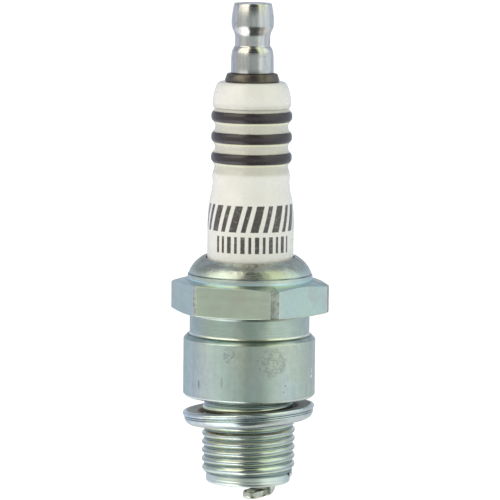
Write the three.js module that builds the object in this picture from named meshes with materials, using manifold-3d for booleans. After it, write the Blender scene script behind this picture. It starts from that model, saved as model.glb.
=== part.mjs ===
// Short-reach spark plug with a 14 mm thread, a 20.8 mm hexagon, a ribbed insulator, a lift-off
// terminal nut and a loose folded gasket. Millimetres throughout. Z runs along the plug's axis,
// up toward the terminal, and z = 0 is the seat face of the shell that presses the gasket.
import * as THREE from 'three';
import { mergeVertices } from 'three/addons/utils/BufferGeometryUtils.js';
import Module from 'manifold-3d';

const wasm = await Module();
wasm.setup();

// ---- driving dimensions ----------------------------------------------------------------------

const FACETS = 24; // sides of every large turned piece
const SMALL_FACETS = 16; // sides of the slim turned pieces
const ARC_STEPS = 4; // steps in one rounded stretch of a profile
const CLEARANCE = 0.05; // gap left between fitted pieces

// shell, from the firing end up
const HEX_ACROSS_FLATS = 20.8;
const HEX_ACROSS_CORNERS = 23.1; // the corners are turned down to this diameter
const HEX_BOTTOM = 12.3;
const HEX_TOP = 17.0;
const HEX_CONE_RADIUS = 10.3; // where the turned cone on the hexagon's top starts
const HEX_CONE_DROP = 0.58; // how far the cone has fallen at the corners
const BODY_RADIUS = 9.6;
const BODY_TOP = 8.75;
const BODY_CHAMFER = 0.45;
const WAIST_RADIUS = 8.72; // turned groove between the body and the hexagon
const COLLAR_RADIUS = 9.08;
const CRIMP_START = 17.95;
const CRIMP_TOP = 20.45;
const LIP_RADIUS = 6.42;
const SHELL_BORE = 7.75;
const THREAD_BORE = 4.75;
const NOSE_BORE = 4.9;
const LEDGE_RADIUS = 3.95;
const REACH = 12.7; // seat face to the end of the threaded part
const NECK_RADIUS = 6.45;
const PILOT_RADIUS = 6.22;

// plug thread M14 x 1.25
const PLUG_THREAD = { major: 6.925, pitch: 1.25, depth: 0.76, bottom: -11.6, top: -1.0 };

// terminal stud thread M4 x 0.7
const STUD_THREAD = { major: 1.98, pitch: 0.7, depth: 0.42, bottom: 47.3, top: 54.6 };

// insulator
const INSULATOR_TOP = 45.65;
const INSULATOR_RADIUS = 6.25;
const SHOULDER_RADIUS = 7.35;
const STEM_RADIUS = 4.6;
const NOSE_ROOT_RADIUS = 3.5;
const NOSE_TIP_RADIUS = 2.2;
const NOSE_TIP = -12.2;
const STEP_TOP = -2.0; // conical step that sits on the seat washer
const STEP_BOTTOM = -2.9;
const TERMINAL_BORE = 1.9;
const ELECTRODE_BORE = 1.3;
const BORE_STEP = 0.0;
const RIBS = [
  { crown: 40.7, radius: 5.93 },
  { crown: 37.7, radius: 5.91 },
  { crown: 34.75, radius: 5.93 },
];
const RIB_HALF_BAND = 0.75; // straight part of a rib's crown, each way from its middle
const GROOVE_RADIUS = 5.34;

// terminal
const NUT_TOP = 57.0;
const NUT_BOTTOM = 46.9;
const NUT_BASE_RADIUS = 3.1;
const NUT_NECK_RADIUS = 2.62;
const NUT_BULGE_RADIUS = 3.1;
const NUT_BORE = 2.1;
const FLANGE_RADIUS = 3.96;
const STUD_RADIUS = 1.7;
const STUD_END = 16.0;

// firing end
const STRAP_WIDTH = 2.4;
const STRAP_THICKNESS = 1.3;
const STRAP_RADIUS = 5.52; // middle of the leg, measured from the plug's axis
const STRAP_EDGE = 0.4; // rounding of the strap's long edges
const STRAP_BOTTOM = -15.4;
const STRAP_OVERSHOOT = 0.2; // how far the arm passes the plug's axis
const STRAP_AZIMUTH = 70; // degrees about Z from +X to the strap's leg
const TIP_RADIUS = 0.3;
const TIP_END = -13.1;

// gasket: a folded steel ring, looser than the thread, that hangs a little askew
const GASKET_INNER = 7.2;
const GASKET_OUTER = 9.6;
const GASKET_TOP = 0.85; // top face above the ring's middle plane
const GASKET_FOOT = 1.3; // bottom face below the middle plane
const GASKET_SEAM = 0.1; // height of the fold's open edge
const GASKET_CENTRE = -2.52;
const GASKET_TILT = 4.15; // degrees
const GASKET_LOW_SIDE = 172.3; // degrees about Z from +X to the ring's lowest point

// ---- shared geometry -------------------------------------------------------------------------

// Turns an (r, z) profile about Z. The profile runs anticlockwise, with r to the right and z up.
function turned(profile, facets = FACETS) {
  const geometry = new THREE.LatheGeometry(profile.getPoints(ARC_STEPS), facets);
  geometry.rotateX(Math.PI / 2);
  return geometry;
}

// A (r, z) outline made of straight stretches between the points given.
function outline(...points) {
  const path = new THREE.Path();
  path.moveTo(...points[0]);
  points.slice(1).forEach((point) => path.lineTo(...point));
  return path;
}

// Full circle of the given section radius, closed on itself, for a ring.
function ringOutline(ringRadius, z, sectionRadius) {
  const path = new THREE.Path();
  path.absarc(ringRadius, z, sectionRadius, 0, 2 * Math.PI, false);
  return path;
}

// A ring of square-cornered section.
function sleeveOutline(inner, outer, bottom, top) {
  return outline([inner, bottom], [outer, bottom], [outer, top], [inner, top], [inner, bottom]);
}

function solidOf(geometry) {
  const bare = geometry.clone();
  bare.deleteAttribute('normal');
  bare.deleteAttribute('uv');
  const merged = mergeVertices(bare, 1e-4);
  const corners = merged.index.array;
  const triangles = [];
  for (let i = 0; i < corners.length; i += 3) {
    const [a, b, c] = corners.slice(i, i + 3);
    if (a !== b && b !== c && c !== a) triangles.push(a, b, c);
  }
  const mesh = new wasm.Mesh({
    numProp: 3,
    vertProperties: Float32Array.from(merged.attributes.position.array),
    triVerts: Uint32Array.from(triangles),
  });
  return new wasm.Manifold(mesh);
}

function geometryOf(solid) {
  const mesh = solid.getMesh();
  const geometry = new THREE.BufferGeometry();
  geometry.setAttribute('position', new THREE.BufferAttribute(mesh.vertProperties, 3));
  geometry.setIndex(new THREE.BufferAttribute(mesh.triVerts, 1));
  geometry.computeVertexNormals();
  return geometry;
}

// Right-hand helix about Z that dives under the core's surface over its first and last stretch.
class ThreadHelix extends THREE.Curve {
  constructor(thread, sunk) {
    super();
    this.thread = thread;
    this.turns = (thread.top - thread.bottom) / thread.pitch;
    this.sunk = sunk;
  }

  getPoint(t, target = new THREE.Vector3()) {
    const { major, depth, pitch, bottom } = this.thread;
    const turn = t * this.turns;
    const shown = Math.min(1, turn / 0.75, (this.turns - turn) / 0.75);
    const radius = major - depth - (1 - shown) * this.sunk;
    const angle = 2 * Math.PI * turn;
    return target.set(radius * Math.cos(angle), radius * Math.sin(angle), bottom + pitch * turn);
  }

  getPointAt(t, target) {
    return this.getPoint(t, target);
  }

  // Every section stands upright in a plane that holds the axis.
  computeFrenetFrames(steps) {
    const tangents = [];
    const normals = [];
    const binormals = [];
    for (let i = 0; i <= steps; i += 1) {
      const angle = (2 * Math.PI * this.turns * i) / steps;
      tangents.push(new THREE.Vector3(-Math.sin(angle), Math.cos(angle), 0));
      normals.push(new THREE.Vector3(Math.cos(angle), Math.sin(angle), 0));
      binormals.push(new THREE.Vector3(0, 0, -1));
    }
    return { tangents, normals, binormals };
  }
}

// The ridge of a thread, its foot buried in the core.
function threadRidge(thread, stepsPerTurn) {
  const foot = 0.12;
  const flank = Math.tan(Math.PI / 6);
  const crest = thread.pitch / 16;
  const base = crest + (thread.depth + foot) * flank;
  const section = new THREE.Shape();
  section.moveTo(-foot, -base);
  section.lineTo(thread.depth, -crest);
  section.lineTo(thread.depth, crest);
  section.lineTo(-foot, base);
  section.closePath();
  const helix = new ThreadHelix(thread, thread.depth + 0.05);
  const steps = Math.round(helix.turns * stepsPerTurn);
  return new THREE.ExtrudeGeometry(section, { steps, bevelEnabled: false, extrudePath: helix });
}

// ---- shell -----------------------------------------------------------------------------------

function shellOuter() {
  const core = PLUG_THREAD.major - PLUG_THREAD.depth;
  const path = new THREE.Path();
  path.moveTo(0, -REACH);
  path.lineTo(PILOT_RADIUS - 0.3, -REACH);
  path.lineTo(PILOT_RADIUS, -REACH + 0.4);
  path.lineTo(PILOT_RADIUS, -11.35);
  path.lineTo(core, -11.2);
  path.lineTo(core, -1.75);
  path.lineTo(NECK_RADIUS, -1.45);
  path.lineTo(NECK_RADIUS, 0);
  path.lineTo(BODY_RADIUS - BODY_CHAMFER, 0);
  path.lineTo(BODY_RADIUS, BODY_CHAMFER);
  path.lineTo(BODY_RADIUS, BODY_TOP - 0.25);
  path.lineTo(BODY_RADIUS - 0.25, BODY_TOP);
  path.quadraticCurveTo(WAIST_RADIUS, BODY_TOP, WAIST_RADIUS, BODY_TOP + 0.55);
  path.lineTo(WAIST_RADIUS, HEX_BOTTOM - 0.4);
  path.lineTo(WAIST_RADIUS + 0.4, HEX_BOTTOM);
  path.lineTo(WAIST_RADIUS + 0.4, HEX_TOP);
  path.lineTo(COLLAR_RADIUS, HEX_TOP + 0.15);
  path.lineTo(COLLAR_RADIUS, CRIMP_START - 0.15);
  path.lineTo(COLLAR_RADIUS - 0.12, CRIMP_START);
  path.quadraticCurveTo(8.25, CRIMP_START + 1.6, LIP_RADIUS + 0.2, CRIMP_TOP);
  path.lineTo(LIP_RADIUS, CRIMP_TOP - 0.1);
  path.lineTo(0, CRIMP_TOP - 0.1);
  return path;
}

function shellBore() {
  const past = 1; // the cutter stands this far out of each end
  const path = new THREE.Path();
  path.moveTo(0, -REACH - past);
  path.lineTo(NOSE_BORE, -REACH - past);
  path.lineTo(NOSE_BORE, -5.4);
  path.lineTo(LEDGE_RADIUS, -4.6);
  path.lineTo(LEDGE_RADIUS, -3.18);
  path.lineTo(THREAD_BORE, -2.52);
  path.lineTo(THREAD_BORE, 1.9);
  path.lineTo(SHELL_BORE, 3.6);
  path.lineTo(SHELL_BORE, CRIMP_START - 0.2);
  path.quadraticCurveTo(7.6, CRIMP_START + 1.2, LIP_RADIUS, CRIMP_TOP - 0.65);
  path.lineTo(LIP_RADIUS, CRIMP_TOP + past);
  path.lineTo(0, CRIMP_TOP + past);
  return path;
}

// Hexagonal prism with two flats facing +Y and -Y.
function hexPrism() {
  const corner = HEX_ACROSS_FLATS / Math.sqrt(3);
  const shape = new THREE.Shape();
  for (let i = 0; i < 6; i += 1) {
    const angle = (i * Math.PI) / 3;
    const point = [corner * Math.cos(angle), corner * Math.sin(angle)];
    if (i === 0) shape.moveTo(...point);
    else shape.lineTo(...point);
  }
  shape.closePath();
  const prism = new THREE.ExtrudeGeometry(shape, {
    depth: HEX_TOP - HEX_BOTTOM,
    bevelEnabled: false,
  });
  prism.translate(0, 0, HEX_BOTTOM);
  return prism;
}

// Turned blank that the hexagon is cut from, with a cone at each end.
function hexBlank() {
  const radius = HEX_ACROSS_CORNERS / 2;
  return outline(
    [0, HEX_BOTTOM - 0.1],
    [radius - 0.5, HEX_BOTTOM - 0.1],
    [radius, HEX_BOTTOM + 0.25],
    [radius, HEX_TOP - HEX_CONE_DROP],
    [HEX_CONE_RADIUS, HEX_TOP - 0.01],
    [0, HEX_TOP - 0.01],
  );
}

function shellGeometry() {
  const hexagon = solidOf(hexPrism()).intersect(solidOf(turned(hexBlank(), 2 * FACETS)));
  const ridge = solidOf(threadRidge(PLUG_THREAD, FACETS));
  const blank = solidOf(turned(shellOuter())).add(hexagon).add(ridge);
  return geometryOf(blank.subtract(solidOf(turned(shellBore()))));
}

// ---- ceramic ---------------------------------------------------------------------------------

function insulatorOutline() {
  const path = new THREE.Path();
  path.moveTo(ELECTRODE_BORE, NOSE_TIP);
  path.lineTo(NOSE_TIP_RADIUS - 0.3, NOSE_TIP);
  path.lineTo(NOSE_TIP_RADIUS, NOSE_TIP + 0.3);
  path.lineTo(NOSE_ROOT_RADIUS, STEP_BOTTOM);
  path.lineTo(STEM_RADIUS, STEP_TOP);
  path.lineTo(STEM_RADIUS, 2.6);
  path.lineTo(SHOULDER_RADIUS, 4.4);
  path.lineTo(SHOULDER_RADIUS, 10.1);
  path.lineTo(INSULATOR_RADIUS, 11.3);
  path.lineTo(INSULATOR_RADIUS, 25.2);
  path.quadraticCurveTo(6.2, 28.0, 5.8, 29.4);
  path.quadraticCurveTo(5.52, 30.6, 5.58, 31.3);
  path.quadraticCurveTo(5.7, 32.1, 5.5, 32.7);
  ribOutline(path, RIBS[2]);
  ribOutline(path, RIBS[1]);
  ribOutline(path, RIBS[0]);
  path.lineTo(5.55, 42.0);
  path.lineTo(5.69, 42.7);
  path.quadraticCurveTo(5.58, 44.2, 5.14, 45.1);
  path.quadraticCurveTo(4.9, INSULATOR_TOP, 4.5, INSULATOR_TOP);
  path.lineTo(TERMINAL_BORE, INSULATOR_TOP);
  path.lineTo(TERMINAL_BORE, BORE_STEP);
  path.lineTo(ELECTRODE_BORE, BORE_STEP);
  path.lineTo(ELECTRODE_BORE, NOSE_TIP);
  return path;
}

// One rib, from the groove below it to the groove above it.
function ribOutline(path, rib) {
  const low = rib.crown - RIB_HALF_BAND;
  const high = rib.crown + RIB_HALF_BAND;
  path.lineTo(GROOVE_RADIUS + 0.1, low - 0.45);
  path.lineTo(rib.radius - 0.05, low);
  path.quadraticCurveTo(rib.radius + 0.02, rib.crown, rib.radius - 0.05, high);
  path.lineTo(GROOVE_RADIUS + 0.1, high + 0.45);
}

// ---- terminal --------------------------------------------------------------------------------

function nutOutline() {
  const path = new THREE.Path();
  path.moveTo(0, 55.0);
  path.lineTo(NUT_BORE, 54.8);
  path.lineTo(NUT_BORE, NUT_BOTTOM + 0.3);
  path.lineTo(NUT_BORE + 0.3, NUT_BOTTOM);
  path.lineTo(NUT_BASE_RADIUS - 0.1, NUT_BOTTOM);
  path.lineTo(NUT_BASE_RADIUS, NUT_BOTTOM + 0.15);
  path.lineTo(NUT_BASE_RADIUS, 49.7);
  path.quadraticCurveTo(NUT_NECK_RADIUS, 49.9, NUT_NECK_RADIUS, 50.8);
  path.lineTo(NUT_NECK_RADIUS, 52.1);
  path.bezierCurveTo(NUT_NECK_RADIUS, 53.1, NUT_BULGE_RADIUS, 53.1, NUT_BULGE_RADIUS, 54.1);
  path.quadraticCurveTo(NUT_BULGE_RADIUS, 55.3, 2.66, NUT_TOP - 0.12);
  path.lineTo(2.5, NUT_TOP);
  path.lineTo(0, NUT_TOP);
  return path;
}

// Stud with its dark seating flange, a plain shank and a ringed foot for the glass to grip.
function studOutline() {
  const core = STUD_THREAD.major - STUD_THREAD.depth;
  const path = new THREE.Path();
  path.moveTo(0, STUD_END);
  path.lineTo(1.15, STUD_END);
  for (let z = STUD_END + 0.2; z < STUD_END + 2; z += 0.6) {
    path.lineTo(1.4, z);
    path.lineTo(1.4, z + 0.25);
    path.lineTo(1.15, z + 0.4);
  }
  path.lineTo(1.4, STUD_END + 2.4);
  path.lineTo(STUD_RADIUS, STUD_END + 2.8);
  path.lineTo(STUD_RADIUS, INSULATOR_TOP + CLEARANCE);
  path.lineTo(FLANGE_RADIUS - 0.1, INSULATOR_TOP + CLEARANCE);
  path.quadraticCurveTo(FLANGE_RADIUS, 46.0, 3.62, 46.6);
  path.lineTo(3.35, NUT_BOTTOM - CLEARANCE);
  path.lineTo(core, NUT_BOTTOM - CLEARANCE);
  path.lineTo(core, 54.2);
  path.lineTo(core - 0.3, 54.6);
  path.lineTo(0, 54.6);
  return path;
}

function studGeometry() {
  const ridge = solidOf(threadRidge(STUD_THREAD, SMALL_FACETS / 2));
  return geometryOf(solidOf(turned(studOutline(), SMALL_FACETS)).add(ridge));
}

// ---- electrodes ------------------------------------------------------------------------------

// Nickel rod with a head that rests on the step in the insulator's bore, hollow for the core.
function centreElectrodeOutline() {
  return outline(
    [0, -12.3],
    [0, -12.75],
    [0.75, -12.75],
    [1.2, -12.3],
    [1.2, BORE_STEP + CLEARANCE],
    [1.75, BORE_STEP + CLEARANCE],
    [1.75, 1.7],
    [1.45, 2.0],
    [0.65, 2.0],
    [0.65, -10.6],
    [0, -10.9],
  );
}

function copperCoreOutline() {
  return outline([0, -10.8], [0.6, -10.5], [0.6, 1.95], [0, 1.95]);
}

// Bead that joins the fine wire to the rod.
function tipWeldOutline() {
  const inner = TIP_RADIUS + 0.03;
  return outline([inner, -12.95], [0.42, -12.95], [0.66, -12.8], [inner, -12.8], [inner, -12.95]);
}

function tipOutline() {
  return outline([0, TIP_END], [TIP_RADIUS, TIP_END], [TIP_RADIUS, -12.8], [0, -12.8]);
}

// Side view of the strap: a leg down from the shell's rim, a bend, and an arm across the axis.
function strapGeometry() {
  const outside = STRAP_RADIUS + STRAP_THICKNESS / 2;
  const inside = STRAP_RADIUS - STRAP_THICKNESS / 2;
  const armTop = STRAP_BOTTOM + STRAP_THICKNESS;
  const top = -REACH - 0.25;
  const bend = top - armTop - STRAP_EDGE - 0.1;
  const outerBend = bend + STRAP_THICKNESS;
  const side = new THREE.Shape();
  side.moveTo(outside, top);
  side.lineTo(inside, top);
  side.absarc(inside - bend, armTop + bend, bend, 0, -Math.PI / 2, true);
  side.lineTo(-STRAP_OVERSHOOT, armTop);
  side.lineTo(-STRAP_OVERSHOOT, STRAP_BOTTOM);
  side.absarc(outside - outerBend, STRAP_BOTTOM + outerBend, outerBend, -Math.PI / 2, 0, false);
  side.closePath();
  const strap = new THREE.ExtrudeGeometry(side, {
    depth: STRAP_WIDTH - 2 * STRAP_EDGE,
    bevelThickness: STRAP_EDGE,
    bevelSize: STRAP_EDGE,
    bevelOffset: -STRAP_EDGE,
    bevelSegments: 2,
    curveSegments: 6,
  });
  strap.rotateX(Math.PI / 2);
  strap.translate(0, STRAP_WIDTH / 2 - STRAP_EDGE, 0);
  strap.rotateZ(THREE.MathUtils.degToRad(STRAP_AZIMUTH));
  return strap;
}

// Flattened bead between the rim and the strap's leg.
function groundWeldGeometry() {
  const half = { along: STRAP_THICKNESS / 2 - 0.05, across: STRAP_WIDTH / 2 + 0.1 };
  const pad = new THREE.Shape();
  pad.moveTo(-half.along, -half.across + 0.3);
  pad.quadraticCurveTo(-half.along, -half.across, 0, -half.across);
  pad.quadraticCurveTo(half.along, -half.across, half.along, -half.across + 0.3);
  pad.lineTo(half.along, half.across - 0.3);
  pad.quadraticCurveTo(half.along, half.across, 0, half.across);
  pad.quadraticCurveTo(-half.along, half.across, -half.along, half.across - 0.3);
  pad.closePath();
  const bead = new THREE.ExtrudeGeometry(pad, { depth: 0.15, bevelEnabled: false, curveSegments: 3 });
  bead.translate(STRAP_RADIUS, 0, -REACH - 0.2);
  bead.rotateZ(THREE.MathUtils.degToRad(STRAP_AZIMUTH));
  return bead;
}

// ---- seals and packing -----------------------------------------------------------------------

function lowerGlassOutline() {
  return outline([0, 2.05], [1.85, 2.05], [1.85, 6.0], [0, 6.0]);
}

function resistorOutline() {
  return outline([0, 6.05], [1.6, 6.05], [1.85, 6.3], [1.85, 13.75], [1.6, 14.0], [0, 14.0]);
}

// Cup of glass around the stud's ringed foot.
function upperGlassOutline() {
  const inner = 1.45;
  return outline([0, 14.05], [1.85, 14.05], [1.85, 18.2], [inner, 18.2], [inner, 15.95], [0, 15.95]);
}

function talcOutline() {
  return sleeveOutline(INSULATOR_RADIUS + CLEARANCE, SHELL_BORE - CLEARANCE, 11.65, CRIMP_START - 0.75);
}

function upperPackingOutline() {
  return ringOutline(7.0, CRIMP_START - 0.2, 0.46);
}

function lowerPackingOutline() {
  return ringOutline(7.1, 11.17, 0.42);
}

// Washer between the insulator's conical step and the shell's ledge.
function seatWasherOutline() {
  const fall = (STEP_TOP - STEP_BOTTOM) / (STEM_RADIUS - NOSE_ROOT_RADIUS);
  const slopeTop = (r, drop) => [r, STEP_TOP - (STEM_RADIUS - r) * fall - drop];
  const corners = [slopeTop(3.97, 0.07), slopeTop(4.12, 0.55), slopeTop(4.65, 0.55), slopeTop(4.5, 0.07)];
  return outline(...corners, corners[0]);
}

// ---- gasket ----------------------------------------------------------------------------------

// Section of the folded ring: a full lower bead, a seam, and a slimmer upper bead.
function gasketOutline() {
  const path = new THREE.Path();
  path.moveTo(GASKET_INNER + 0.35, -GASKET_FOOT);
  path.lineTo(GASKET_OUTER - 1.4, -GASKET_FOOT);
  path.quadraticCurveTo(GASKET_OUTER - 0.15, -GASKET_FOOT, GASKET_OUTER - 0.22, GASKET_SEAM);
  path.quadraticCurveTo(GASKET_OUTER + 0.1, (GASKET_SEAM + GASKET_TOP) / 2, GASKET_OUTER - 0.35, GASKET_TOP);
  path.lineTo(GASKET_INNER + 0.3, GASKET_TOP);
  path.quadraticCurveTo(GASKET_INNER - 0.15, -0.2, GASKET_INNER + 0.35, -GASKET_FOOT);
  return path;
}

// ---- finishes --------------------------------------------------------------------------------

function finish(color, roughness, metalness) {
  return new THREE.MeshStandardMaterial({ color, roughness, metalness });
}

const zincPlate = () => finish(0xa5b9b2, 0.32, 1);
const nickelStrap = () => finish(0xb9bfae, 0.4, 1);
const weldMetal = () => finish(0xa9a79c, 0.55, 1);
const glazedCeramic = () => finish(0xebe8e0, 0.12, 0);
const turnedSteel = () => finish(0x9fa19c, 0.35, 1);
const darkSteel = () => finish(0x55504a, 0.5, 1);
const platedGasket = () => finish(0xb4b2a0, 0.38, 1);
const nickelAlloy = () => finish(0x9c978c, 0.4, 1);
const copper = () => finish(0xb8704a, 0.35, 1);
const preciousWire = () => finish(0xd3d3d0, 0.25, 1);
const glassSeal = () => finish(0x3f4a44, 0.2, 0);
const carbonResistor = () => finish(0x2b2a2c, 0.6, 0);
const talc = () => finish(0xdcd8ca, 0.9, 0);
const packingSteel = () => finish(0x8f9192, 0.45, 1);

// ---- assembly --------------------------------------------------------------------------------

function piece(name, geometry, material) {
  const mesh = new THREE.Mesh(geometry, material);
  mesh.name = name;
  return mesh;
}

function terminal() {
  const group = new THREE.Group();
  group.add(piece('terminal_nut', turned(nutOutline()), turnedSteel()));
  group.add(piece('terminal_stud', studGeometry(), darkSteel()));
  return group;
}

function insulatorColumn() {
  const group = new THREE.Group();
  group.add(piece('insulator', turned(insulatorOutline()), glazedCeramic()));
  group.add(piece('upper_glass_seal', turned(upperGlassOutline(), SMALL_FACETS), glassSeal()));
  group.add(piece('resistor', turned(resistorOutline(), SMALL_FACETS), carbonResistor()));
  group.add(piece('lower_glass_seal', turned(lowerGlassOutline(), SMALL_FACETS), glassSeal()));
  group.add(piece('centre_electrode', turned(centreElectrodeOutline(), SMALL_FACETS), nickelAlloy()));
  group.add(piece('copper_core', turned(copperCoreOutline(), SMALL_FACETS), copper()));
  group.add(piece('tip_weld', turned(tipWeldOutline(), SMALL_FACETS), weldMetal()));
  group.add(piece('electrode_tip', turned(tipOutline(), SMALL_FACETS), preciousWire()));
  return group;
}

function shellAndPacking() {
  const group = new THREE.Group();
  group.add(piece('shell', shellGeometry(), zincPlate()));
  group.add(piece('upper_packing_ring', turned(upperPackingOutline()), packingSteel()));
  group.add(piece('talc_filling', turned(talcOutline()), talc()));
  group.add(piece('lower_packing_ring', turned(lowerPackingOutline()), packingSteel()));
  group.add(piece('insulator_seat_washer', turned(seatWasherOutline()), packingSteel()));
  group.add(piece('ground_electrode', strapGeometry(), nickelStrap()));
  group.add(piece('ground_weld', groundWeldGeometry(), weldMetal()));
  return group;
}

function gasket() {
  const ring = piece('gasket', turned(gasketOutline()), platedGasket());
  const lowSide = THREE.MathUtils.degToRad(GASKET_LOW_SIDE);
  const hinge = new THREE.Vector3(-Math.sin(lowSide), Math.cos(lowSide), 0);
  ring.quaternion.setFromAxisAngle(hinge, THREE.MathUtils.degToRad(GASKET_TILT));
  ring.position.z = GASKET_CENTRE;
  return ring;
}

const plug = new THREE.Group();
plug.name = 'spark_plug';
plug.add(terminal(), insulatorColumn(), shellAndPacking(), gasket());

export default plug;
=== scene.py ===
"""Finished look of a short-reach spark plug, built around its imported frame.

Sizes in the classes are millimetres in the frame's own coordinates: Z runs along the
plug's axis towards the terminal and z = 0 is the seat face. Meshes are scaled to metres
when they are finished.
"""

import logging
import math
from dataclasses import dataclass, field
from enum import Enum
from typing import Callable, ClassVar, Optional, Union

import bmesh
import bpy
from mathutils import Euler, Matrix, Vector


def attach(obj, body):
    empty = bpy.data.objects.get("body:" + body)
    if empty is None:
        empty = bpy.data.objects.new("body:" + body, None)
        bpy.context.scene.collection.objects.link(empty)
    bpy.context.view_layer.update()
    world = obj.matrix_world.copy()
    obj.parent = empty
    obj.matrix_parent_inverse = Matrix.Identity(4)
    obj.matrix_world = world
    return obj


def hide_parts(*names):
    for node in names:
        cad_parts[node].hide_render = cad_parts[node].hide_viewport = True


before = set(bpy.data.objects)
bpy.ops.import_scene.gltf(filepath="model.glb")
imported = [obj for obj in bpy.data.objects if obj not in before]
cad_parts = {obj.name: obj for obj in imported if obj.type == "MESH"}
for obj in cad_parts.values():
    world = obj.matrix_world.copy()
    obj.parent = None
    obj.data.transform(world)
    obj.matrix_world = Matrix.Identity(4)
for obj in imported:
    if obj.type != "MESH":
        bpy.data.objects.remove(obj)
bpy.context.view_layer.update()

log = logging.getLogger("spark_plug")

MM = 0.001
FULL_TURN = 2.0 * math.pi
VIEW_AZIMUTH = -78.0  # degrees about Z from +X to the side that the camera stands on

Point = tuple[float, float]
Colour = tuple[float, float, float]
Triple = tuple[float, float, float]
Material = bpy.types.Material
Mesh = bmesh.types.BMesh
Socket = bpy.types.NodeSocket
Feed = Union[Socket, float, tuple]

VALUE = "NodeSocketFloat"
VECTOR = "NodeSocketVector"
COLOUR = "NodeSocketColor"
ZERO: Triple = (0.0, 0.0, 0.0)
EVEN: Triple = (1.0, 1.0, 1.0)
BLACK: Colour = (0.0, 0.0, 0.0)
WHITE: Colour = (1.0, 1.0, 1.0)


class Body(Enum):
    """Moving bodies of the frame."""

    PLUG = "plug"
    NUT = "nut"
    RING = "ring"


class Slot(Enum):
    """Material slots of the record, listed beside the firing end's pieces; no piece is given one."""

    STEEL = "turned_steel"
    DARK = "dark_steel"
    CERAMIC = "glazed_ceramic"
    NICKEL = "nickel_alloy"
    WELD = "weld_metal"
    WIRE = "precious_wire"
    ZINC = "zinc_plate"
    GASKET = "plated_gasket"


# ---- outlines and meshes ---------------------------------------------------------------------


@dataclass
class Outline:
    """Half section of a turned part, as points of radius and height."""

    points: list[Point] = field(default_factory=list)

    def to(self, *points: Point) -> "Outline":
        """Adds straight runs.

        Args:
            *points: Corners in order, as radius and height.

        Returns:
            The outline, so that calls chain.
        """
        self.points.extend(points)
        return self

    def curve(self, control: Point, end: Point, steps: int = 8) -> "Outline":
        """Adds a quadratic curve from the last point.

        Args:
            control: Control point.
            end: End point.
            steps: Number of straight pieces.

        Returns:
            The outline, so that calls chain.
        """
        return self.sweep(control, control, end, steps, quadratic=True)

    def sweep(
        self, first: Point, second: Point, end: Point, steps: int = 10, quadratic: bool = False
    ) -> "Outline":
        """Adds a curve with two control points from the last point.

        Args:
            first: First control point.
            second: Second control point.
            end: End point.
            steps: Number of straight pieces.
            quadratic: True if the two controls are one point of a quadratic curve.

        Returns:
            The outline, so that calls chain.
        """
        start = Vector(self.points[-1])
        one, two, last = Vector(first), Vector(second), Vector(end)
        for step in range(1, steps + 1):
            t = step / steps
            s = 1.0 - t
            if quadratic:
                place = start * (s * s) + one * (2 * s * t) + last * (t * t)
            else:
                place = start * s**3 + one * (3 * s * s * t) + two * (3 * s * t * t) + last * t**3
            self.points.append((place.x, place.y))
        return self


def turned(outline: Outline, steps: int) -> Mesh:
    """Spins a closed half section round the Z axis.

    Args:
        outline: Half section; its last point joins its first.
        steps: Facets round the axis.

    Returns:
        A closed mesh in millimetres with outward normals.
    """
    bm = bmesh.new()
    ring = [bm.verts.new((r, 0.0, z)) for r, z in outline.points]
    edges = [bm.edges.new(pair) for pair in zip(ring, ring[1:] + ring[:1])]
    bmesh.ops.spin(
        bm, geom=ring + edges, cent=(0, 0, 0), axis=(0, 0, 1), angle=FULL_TURN, steps=steps,
        use_merge=True,
    )
    tidy(bm)
    return bm


def tidy(bm: Mesh) -> None:
    """Merges doubles, drops faces without area and turns every face outwards.

    Args:
        bm: Mesh to clean, in millimetres.
    """
    bmesh.ops.remove_doubles(bm, verts=bm.verts, dist=1e-4)
    bmesh.ops.dissolve_degenerate(bm, edges=bm.edges, dist=1e-5)
    bmesh.ops.recalc_face_normals(bm, faces=bm.faces)


def soften(
    bm: Mesh,
    width: float,
    angle: float = 28.0,
    segments: int = 2,
    chosen: Optional[Callable[[bmesh.types.BMEdge], bool]] = None,
) -> None:
    """Rounds the sharp edges of a mesh.

    Args:
        bm: Mesh to change, in millimetres.
        width: Width of the rounding.
        angle: Edges that turn by more than this many degrees are sharp.
        segments: Faces across the rounding.
        chosen: Keeps only the edges that it returns True for.
    """
    limit = math.radians(angle)
    sharp = [
        edge
        for edge in bm.edges
        if len(edge.link_faces) == 2
        and edge.calc_face_angle(0.0) > limit
        and (chosen is None or chosen(edge))
    ]
    bmesh.ops.bevel(
        bm, geom=sharp, offset=width, offset_type="OFFSET", segments=segments, profile=0.5,
        affect="EDGES", clamp_overlap=True, material=-1,
    )


def finish_piece(
    bm: Mesh, name: str, body: Body, material: Material, stands_for: tuple[str, ...] = ()
) -> None:
    """Turns a mesh in millimetres into a piece of the plug.

    Args:
        bm: Mesh in millimetres; it is freed.
        name: Name of the piece.
        body: Body that it moves with.
        material: Finish.
        stands_for: Frame nodes that it replaces.
    """
    bmesh.ops.scale(bm, vec=(MM, MM, MM), verts=bm.verts)
    for face in bm.faces:
        face.smooth = True
    mesh = bpy.data.meshes.new(name)
    bm.to_mesh(mesh)
    bm.free()
    mesh.materials.append(material)
    piece = bpy.data.objects.new(name, mesh)
    bpy.context.scene.collection.objects.link(piece)
    shading = piece.modifiers.new("even shading", "WEIGHTED_NORMAL")
    shading.keep_sharp = True
    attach(piece, body.value)
    if stands_for:
        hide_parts(*stands_for)
    log.info("piece %s: %d faces, on %s", name, len(mesh.polygons), body.value)


# ---- node helpers ----------------------------------------------------------------------------


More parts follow.
